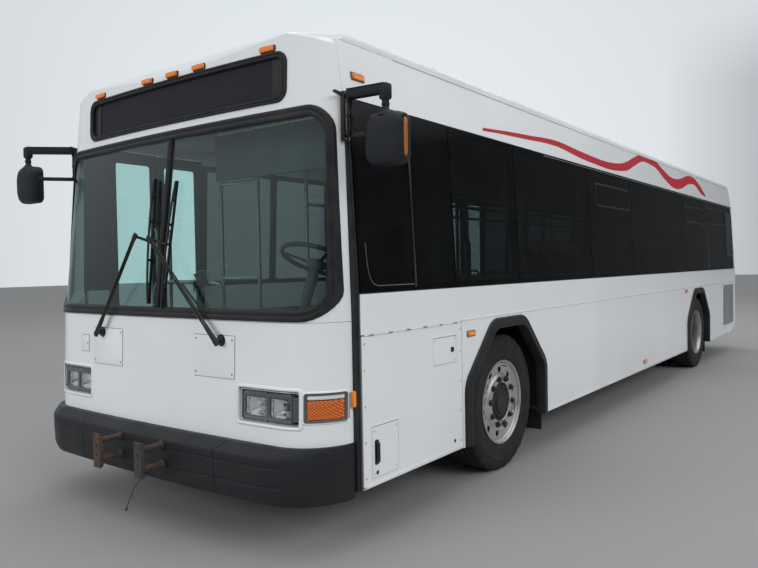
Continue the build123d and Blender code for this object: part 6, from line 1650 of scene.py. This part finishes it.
# --- driver's place ------------------------------------------------------------------------------------
def cushion(piece, place, w, h, t, mat, r=0.09, n=(22, 18), crown=0.45, seams=(), sag=0.0):
    """Closed stuffed shape: crowned faces, sides that pull in to a seam at mid thickness."""
    ring = rrect(0, 0, w, h, r, 6)
    ring = dense(ring, 0.035)
    rows = []
    steps = 9
    for side in (-1, 1):
        part = []
        for k in range(steps + 1):
            q = math.pi / 2 * k / steps
            inset = 0.055 * (1 - math.cos(q)) / 1.0
            hgt = (t / 2) * math.sin(q)
            part.append((inset, side * hgt * 0.72))
        for k in range(1, 7):
            f = k / 6
            part.append((0.055 + f * (min(w, h) / 2 - 0.056), side * (t / 2) * (0.72 + 0.28 * math.sin(f * math.pi / 2) * 1.0)))
        rows.append(part)
    full = list(reversed(rows[0])) + rows[1][1:]
    rings = []
    half = min(w, h) / 2
    for inset, z in full:
        k = 1 - inset / half
        row = []
        for p in ring:
            kx, ky = max(0.002, 1 - inset / (w / 2)), max(0.002, 1 - inset / (h / 2))
            x, y = p.x * kx, p.y * ky
            zz = z
            pull = 0.0
            for ax, at, depth in seams:
                d = (x if ax == 0 else y) - at
                pull += depth * math.exp(-(d / 0.012) ** 2)
            lump = 0.0022 * math.sin(x * 31 + y * 17 + 1.3) * math.sin(y * 27 - x * 11)
            inner = min(1.0, inset / 0.05)
            zz += (math.copysign(1, z) if abs(z) > 1e-9 else 0) * inner * (lump - pull)
            zz -= sag * (1 - (2 * x / w) ** 2) * (1 - (2 * y / h) ** 2) * inner * (1 if z > 0 else 0)
            row.append(place(x, y, zz))
        rings.append(row)
    piece.grid(rings, mat, cap0=True, cap1=True)


DR_Y = 0.640
c = Piece("driver_cushions")
cushion(c, lambda x, y, z: Vector((AX_F + 1.025 + x, DR_Y + y, 0.962 + z + 0.010 * (x / 0.23))), 0.45, 0.48, 0.105, CLOTH_DARK, 0.09,
        seams=((1, -0.15, 0.010), (1, 0.15, 0.010), (0, 0.10, 0.006)), sag=0.012)
lean = Vector((-0.100, 0, 0.740)).normalized()
perp = Vector((0.740, 0, 0.100)).normalized()
bc = Vector((AX_F + 0.805, DR_Y, 1.392))
cushion(c, lambda x, y, z: bc + lean * y + Vector((0, x, 0)) + perp * z, 0.47, 0.745, 0.110, CLOTH_DARK, 0.12,
        seams=((0, -0.15, 0.010), (0, 0.15, 0.010), (1, 0.22, 0.009), (1, -0.10, 0.007)), sag=0.014)
c = c.done(slot="seat_fabric", smooth=60)
c = Piece("driver_seat_base")
c.box((AX_F + 0.800, DR_Y - 0.22, 0.872), (AX_F + 1.230, DR_Y + 0.22, 0.905), 0.012, SATIN)
c.tube([Vector((AX_F + 1.02, DR_Y, z)) for z in (0.5605, 0.566, 0.572, 0.580, 0.60, 0.78, 0.80, 0.845, 0.872)], 0.13, DASH, 36,
       radii=[0.150, 0.150, 0.146, 0.126, 0.118, 0.112, 0.122, 0.128, 0.128])
for k in range(6):
    z = 0.62 + 0.028 * k
    c.tube([Vector((AX_F + 1.02, DR_Y, z + d)) for d in (-0.012, -0.004, 0.004, 0.012)], 0.12, RUBBER, 36, radii=[0.113, 0.126, 0.126, 0.113])
c.box((AX_F + 0.70, 0.150, 0.3925), (AX_F + 1.80, 1.180, 0.5555), 0.010, PANEL_GREY)
c.box((AX_F + 0.705, 0.155, 0.5545), (AX_F + 1.795, 1.175, 0.5595), 0.002, FLOORING)
for sy in (-1, 1):
    a_ = Vector((AX_F + 0.80, DR_Y + sy * 0.255, 1.13))
    c.beam(a_, a_ + Vector((0.26, 0, 0.012)), 0.050, 0.036, 0.014, SATIN)
    c.tube([a_ + Vector((0.0, -sy * 0.030, -0.05)), a_ + Vector((0.01, 0, -0.012))], 0.012, SATIN, 10)
# pedals
for yy, zz in ((DR_Y + 0.06, 0.66), (DR_Y - 0.13, 0.64)):
    c.beam((AX_F + 1.64, yy, 0.600), (AX_F + 1.735, yy, 0.760), 0.075, 0.014, 0.005, RUBBER, (1, 0, 0.4))
    c.beam((AX_F + 1.64, yy, 0.600), (AX_F + 1.66, yy, 0.562), 0.030, 0.020, 0.005, SATIN, (1, 0, 0))
c.done(slot="seat_fabric", replaces=["driver_seat"], smooth=40)

# steering wheel
TOPC = Vector((AX_F + 1.290, DR_Y, 1.520))
cd = Vector((-0.42, 0.0, 0.9075)).normalized()
cx_ = Vector((0, 1, 0))
cy_ = cd.cross(cx_)
sw = Piece("steering_wheel_rim")
N = 96
rings = []
for i in range(N):
    a_ = 2 * math.pi * i / N
    er = cx_ * math.cos(a_) + cy_ * math.sin(a_)
    grip = 0.0012 * math.cos(a_ * 36)
    rings.append([TOPC + er * (0.228 + (0.0145 + grip) * math.cos(q)) + cd * ((0.0145 + grip) * math.sin(q)) for q in [2 * math.pi * j / 12 for j in range(12)]])
sw.grid(rings, SATIN, path=True)
for ang in (math.pi / 2, math.pi * 7 / 6, math.pi * 11 / 6):
    er = cx_ * math.cos(ang) + cy_ * math.sin(ang)
    et = cd.cross(er)
    rows = []
    for k in range(9):
        t = k / 8
        r = 0.040 + (0.222 - 0.040) * t
        w, h = 0.030 - 0.010 * math.sin(t * math.pi), 0.010
        o = TOPC + er * r - cd * (0.030 * (1 - t) ** 1.5)
        rows.append([o + et * p.x + cd * p.y for p in rrect(0, 0, 2 * w * 0.62, h, 0.004, 3)])
    sw.grid(rows, SATIN, cap0=True, cap1=True)
rows = []
for r, h in ((0.030, -0.070), (0.046, -0.066), (0.058, -0.045), (0.062, -0.028), (0.060, -0.016), (0.050, -0.009), (0.030, -0.005), (0.004, -0.004)):
    rows.append([TOPC + (cx_ * math.cos(q) + cy_ * math.sin(q)) * r + cd * h for q in [2 * math.pi * j / 36 for j in range(36)]])
sw.grid(rows, DASH, cap0=True, cap1=True)
sw.tube([TOPC + cd * h for h in (-0.545, -0.54, -0.30, -0.29, -0.10, -0.09, -0.066)], 0.024, DASH, 20, radii=[0.022, 0.024, 0.024, 0.032, 0.034, 0.026, 0.026])
sw.done("steering_wheel", slot="dash_plastic", replaces=["steering_wheel"], smooth=45)

# dashboard: skin, hood with dials, switch panel, fan, sun blind, fare post
finish_node("dashboard", DASH)
db = Piece("dash_fittings")
hood = []
for k in range(9):
    t = k / 8
    y = DR_Y - 0.27 + 0.54 * t
    hh = 0.075 * math.sin(math.pi * t) ** 0.5
    hood.append([Vector((AX_F + 1.600 + dx, y, z)) for dx, z in ((0.0, 1.150), (-0.012, 1.165 + hh * 0.7), (0.02, 1.172 + hh), (0.11, 1.176 + hh * 0.85), (0.19, 1.165))])
db.grid(hood, DASH, ring=False)
for k, (yy, r) in enumerate(((-0.13, 0.052), (0.0, 0.060), (0.13, 0.052), (-0.215, 0.026), (0.215, 0.026))):
    cc = Vector((AX_F + 1.597, DR_Y + yy, 1.180))
    db.tube([cc + Vector((t, 0, 0)) for t in (0.004, -0.002, -0.006, -0.006)], r, CHROME, 28, radii=[r, r, r * 0.96, r * 0.90])
    db.tube([cc + Vector((t, 0, 0)) for t in (-0.001, -0.0035)], r * 0.89, SATIN, 28)
for j in range(2):
    for k in range(9):
        yy = DR_Y - 0.20 + 0.05 * k
        db.box((AX_F + 1.552, yy - 0.017, 1.020 + 0.055 * j), (AX_F + 1.563, yy + 0.017, 1.062 + 0.055 * j), 0.003, SATIN)
# fan on the dash top
fc = F(0.10, 1.42, -0.24)
db.tube([Vector((fc.x, fc.y, z)) for z in (1.155, 1.160, 1.170, 1.30)], 0.012, SATIN, 14, radii=[0.040, 0.038, 0.010, 0.009])
for r in (0.085, 0.062, 0.040, 0.018):
    db.tube([Vector((fc.x - 0.018 * (1 - (r / 0.09) ** 2), fc.y + r * math.cos(q), 1.385 + r * math.sin(q))) for q in [2 * math.pi * j / 40 for j in range(40)]], 0.0014, STEEL, 6, closed=True)
for k in range(16):
    q = 2 * math.pi * k / 16
    db.tube([Vector((fc.x - 0.018 * (1 - (r / 0.09) ** 2), fc.y + r * math.cos(q), 1.385 + r * math.sin(q))) for r in (0.016, 0.05, 0.085)], 0.0012, STEEL, 5)
for k in range(4):
    q = math.pi / 2 * k + 0.3
    e1 = Vector((0, math.cos(q), math.sin(q)))
    e2 = Vector((0, -math.sin(q), math.cos(q)))
    o = Vector((fc.x + 0.016, fc.y, 1.385))
    db.grid([[o + e1 * r + e2 * w * r * 0.5 + Vector((0.010 * w, 0, 0)) for w in (-1, 0, 1)] for r in (0.014, 0.045, 0.074)], SATIN, ring=False)
db.tube([Vector((fc.x + t, fc.y, 1.385)) for t in (-0.010, 0.0, 0.045, 0.060)], 0.02, SATIN, 20, radii=[0.016, 0.022, 0.026, 0.018])
db.tube([Vector((fc.x + 0.03, fc.y, 1.30)), Vector((fc.x + 0.03, fc.y, 1.365))], 0.010, SATIN, 10)
# pale handrail across the entrance side, slanting stay
db.tube(smooth_line([(4.62, -0.05, 1.15), (4.62, -0.06, 1.34), (4.64, -0.12, 1.385), (4.66, -0.40, 1.39), (4.68, -0.62, 1.385), (4.69, -0.68, 1.34), (4.69, -0.69, 1.10)], 6), 0.0145, STEEL, 14)
db.tube([(4.55, -0.20, 1.05), (4.72, -0.34, 1.38)], 0.008, SATIN, 10)
# fare post beside the driver
db.box((AX_F + 1.36, -0.02, 0.394), (AX_F + 1.60, 0.135, 1.02), 0.020, SATIN)
db.box((AX_F + 1.375, -0.005, 1.018), (AX_F + 1.585, 0.125, 1.20), 0.030, DASH)
# sun blind and header panel behind the sign
db.box((AX_F + 1.60, 0.10, 2.02), (AX_F + 1.625, 1.10, 2.30), 0.006, DASH)
db.box((AX_F + 1.55, -1.10, 2.36), (AX_F + 1.70, 1.10, 2.66), 0.02, PANEL_GREY)
db.tube([(AX_F + 1.61, 0.12, 2.31), (AX_F + 1.61, 1.08, 2.31)], 0.010, STEEL, 10)
# door gear above the entrance
db.box((AX_F + 0.64, -1.15, 2.42), (AX_F + 1.54, -0.95, 2.60), 0.02, PANEL_GREY)
db.box((AX_F - 4.36, -1.15, 2.42), (AX_F - 3.20, -0.95, 2.60), 0.02, PANEL_GREY)
db.done(slot="dash_plastic", smooth=40)

# --- passenger seats: shell, cushions, grab rail ------------------------------------------------------------
SEATS = [(-1.150 - 0.720 * k, 1, 0.392) for k in range(5)] + [(-1.150 - 0.720 * k, -1, 0.392) for k in range(3)]
SEATS += [(-5.080 - 0.760 * k, s, 0.780) for k in range(3) for s in (1, -1)]
shell, pads = Piece("seat_shells"), Piece("seat_pads")
for x, s, zf in SEATS:
    xx = AX_F + x
    zs = max(zf + 0.400, 1.130 if abs(x + 5.800) < 0.760 else 0)
    for half in (0, 1):
        yc = s * (0.597 + 0.396 * half)
        w = 0.385
        prof = [(0.425, 0.030), (0.405, 0.022), (0.25, 0.010), (0.06, 0.012), (-0.005, 0.045), (-0.030, 0.130), (-0.062, 0.330), (-0.088, 0.520), (-0.098, 0.566)]
        prof = smooth_line([Vector(p) for p in prof], 3)
        rows = []
        for k, q in enumerate(prof):
            t = k / (len(prof) - 1)
            ww = w / 2 * (1 - 0.18 * max(0, (t - 0.80) / 0.20) ** 2)
            rows.append([Vector((xx + q.x + (0.010 if abs(j) == 4 else 0.0), yc + ww * j / 4, zs + q.y + (0.016 if abs(j) == 4 else 0.0) * (1 if t < 0.5 else 0))) for j in range(-4, 5)] +
                        [Vector((xx + q.x - 0.014 * (1 if t > 0.4 else 0), yc + ww * j / 4, zs + q.y - 0.016 * (1 if t <= 0.55 else 0.2))) for j in range(4, -5, -1)])
        shell.grid(rows, PANEL_GREY, cap0=True, cap1=True)
        cushion(pads, lambda u, v, o, xx=xx, yc=yc, zs=zs: Vector((xx + 0.225 + u, yc + v, zs + 0.026 + o + 0.02 * u)), 0.37, 0.345, 0.042, CLOTH, 0.05,
                seams=((1, 0.0, 0.003),))
        ln = Vector((-0.115, 0, 0.560)).normalized()
        pp = Vector((0.560, 0, 0.115)).normalized()
        oc = Vector((xx - 0.024, yc, zs + 0.300))
        cushion(pads, lambda u, v, o, oc=oc, ln=ln, pp=pp: oc + ln * v + Vector((0, u, 0)) + pp * o, 0.335, 0.42, 0.040, CLOTH, 0.07, seams=((1, 0.08, 0.003),))
    # grab rail on the aisle side and along the top
    yo, yi = s * 1.185, s * 0.402
    shell.tube(smooth_line([(xx - 0.06, yi, zs + 0.30), (xx - 0.085, yi, zs + 0.50), (xx - 0.100, yi + s * 0.02, zs + 0.595), (xx - 0.104, yi + s * 0.10, zs + 0.612),
                            (xx - 0.104, s * 0.79, zs + 0.614), (xx - 0.104, yo - s * 0.02, zs + 0.612)], 4), 0.0125, STEEL, 10)
    z_f = zf + 0.0005 if zs < 1.12 else 1.101
    for dx in (0.10, 0.26):
        shell.tube([Vector((xx + dx, s * 0.73, z_f)), Vector((xx + dx, s * 0.73, z_f + 0.008)), Vector((xx + dx, s * 0.73, z_f + 0.012)), Vector((xx + dx, s * 0.73, zs - 0.002))],
                   0.02, SATIN, 12, radii=[0.040, 0.040, 0.018, 0.018])
    shell.beam((xx + 0.18, s * 0.42, zs - 0.010), (xx + 0.18, s * 1.18, zs - 0.010), 0.24, 0.022, 0.006, SATIN)
shell.done(slot="seat_fabric", replaces=["passenger_seats"], smooth=45)
pads = pads.done(slot="seat_fabric", smooth=60)

# --- floor ----------------------------------------------------------------------------------------------
fm = Mat("studio_floor")
fm.set(base=(0.29, 0.29, 0.29), rough=0.85)
fm.bump(fm.noise(60, 2.0), 0.05, 0.001)
f_geo, f_clear, f_mix = fm.new("ShaderNodeNewGeometry"), fm.new("ShaderNodeBsdfTransparent"), fm.new("ShaderNodeMixShader")
fm.link(f_geo.outputs["Backfacing"], f_mix.inputs[0])      # seen from below, the floor is clear
fm.link(fm.p.outputs[0], f_mix.inputs[1])
fm.link(f_clear.outputs[0], f_mix.inputs[2])
fm.link(f_mix.outputs[0], fm.o.inputs[0])
me = bpy.data.meshes.new("floor")
me.from_pydata([(-70, -70, 0), (70, -70, 0), (70, 70, 0), (-70, 70, 0)], [], [(0, 1, 2, 3)])
me.materials.append(fm.m)
floor = bpy.data.objects.new("floor", me)
bpy.context.scene.collection.objects.link(floor)

bpy.context.scene.view_settings.view_transform = "Standard"
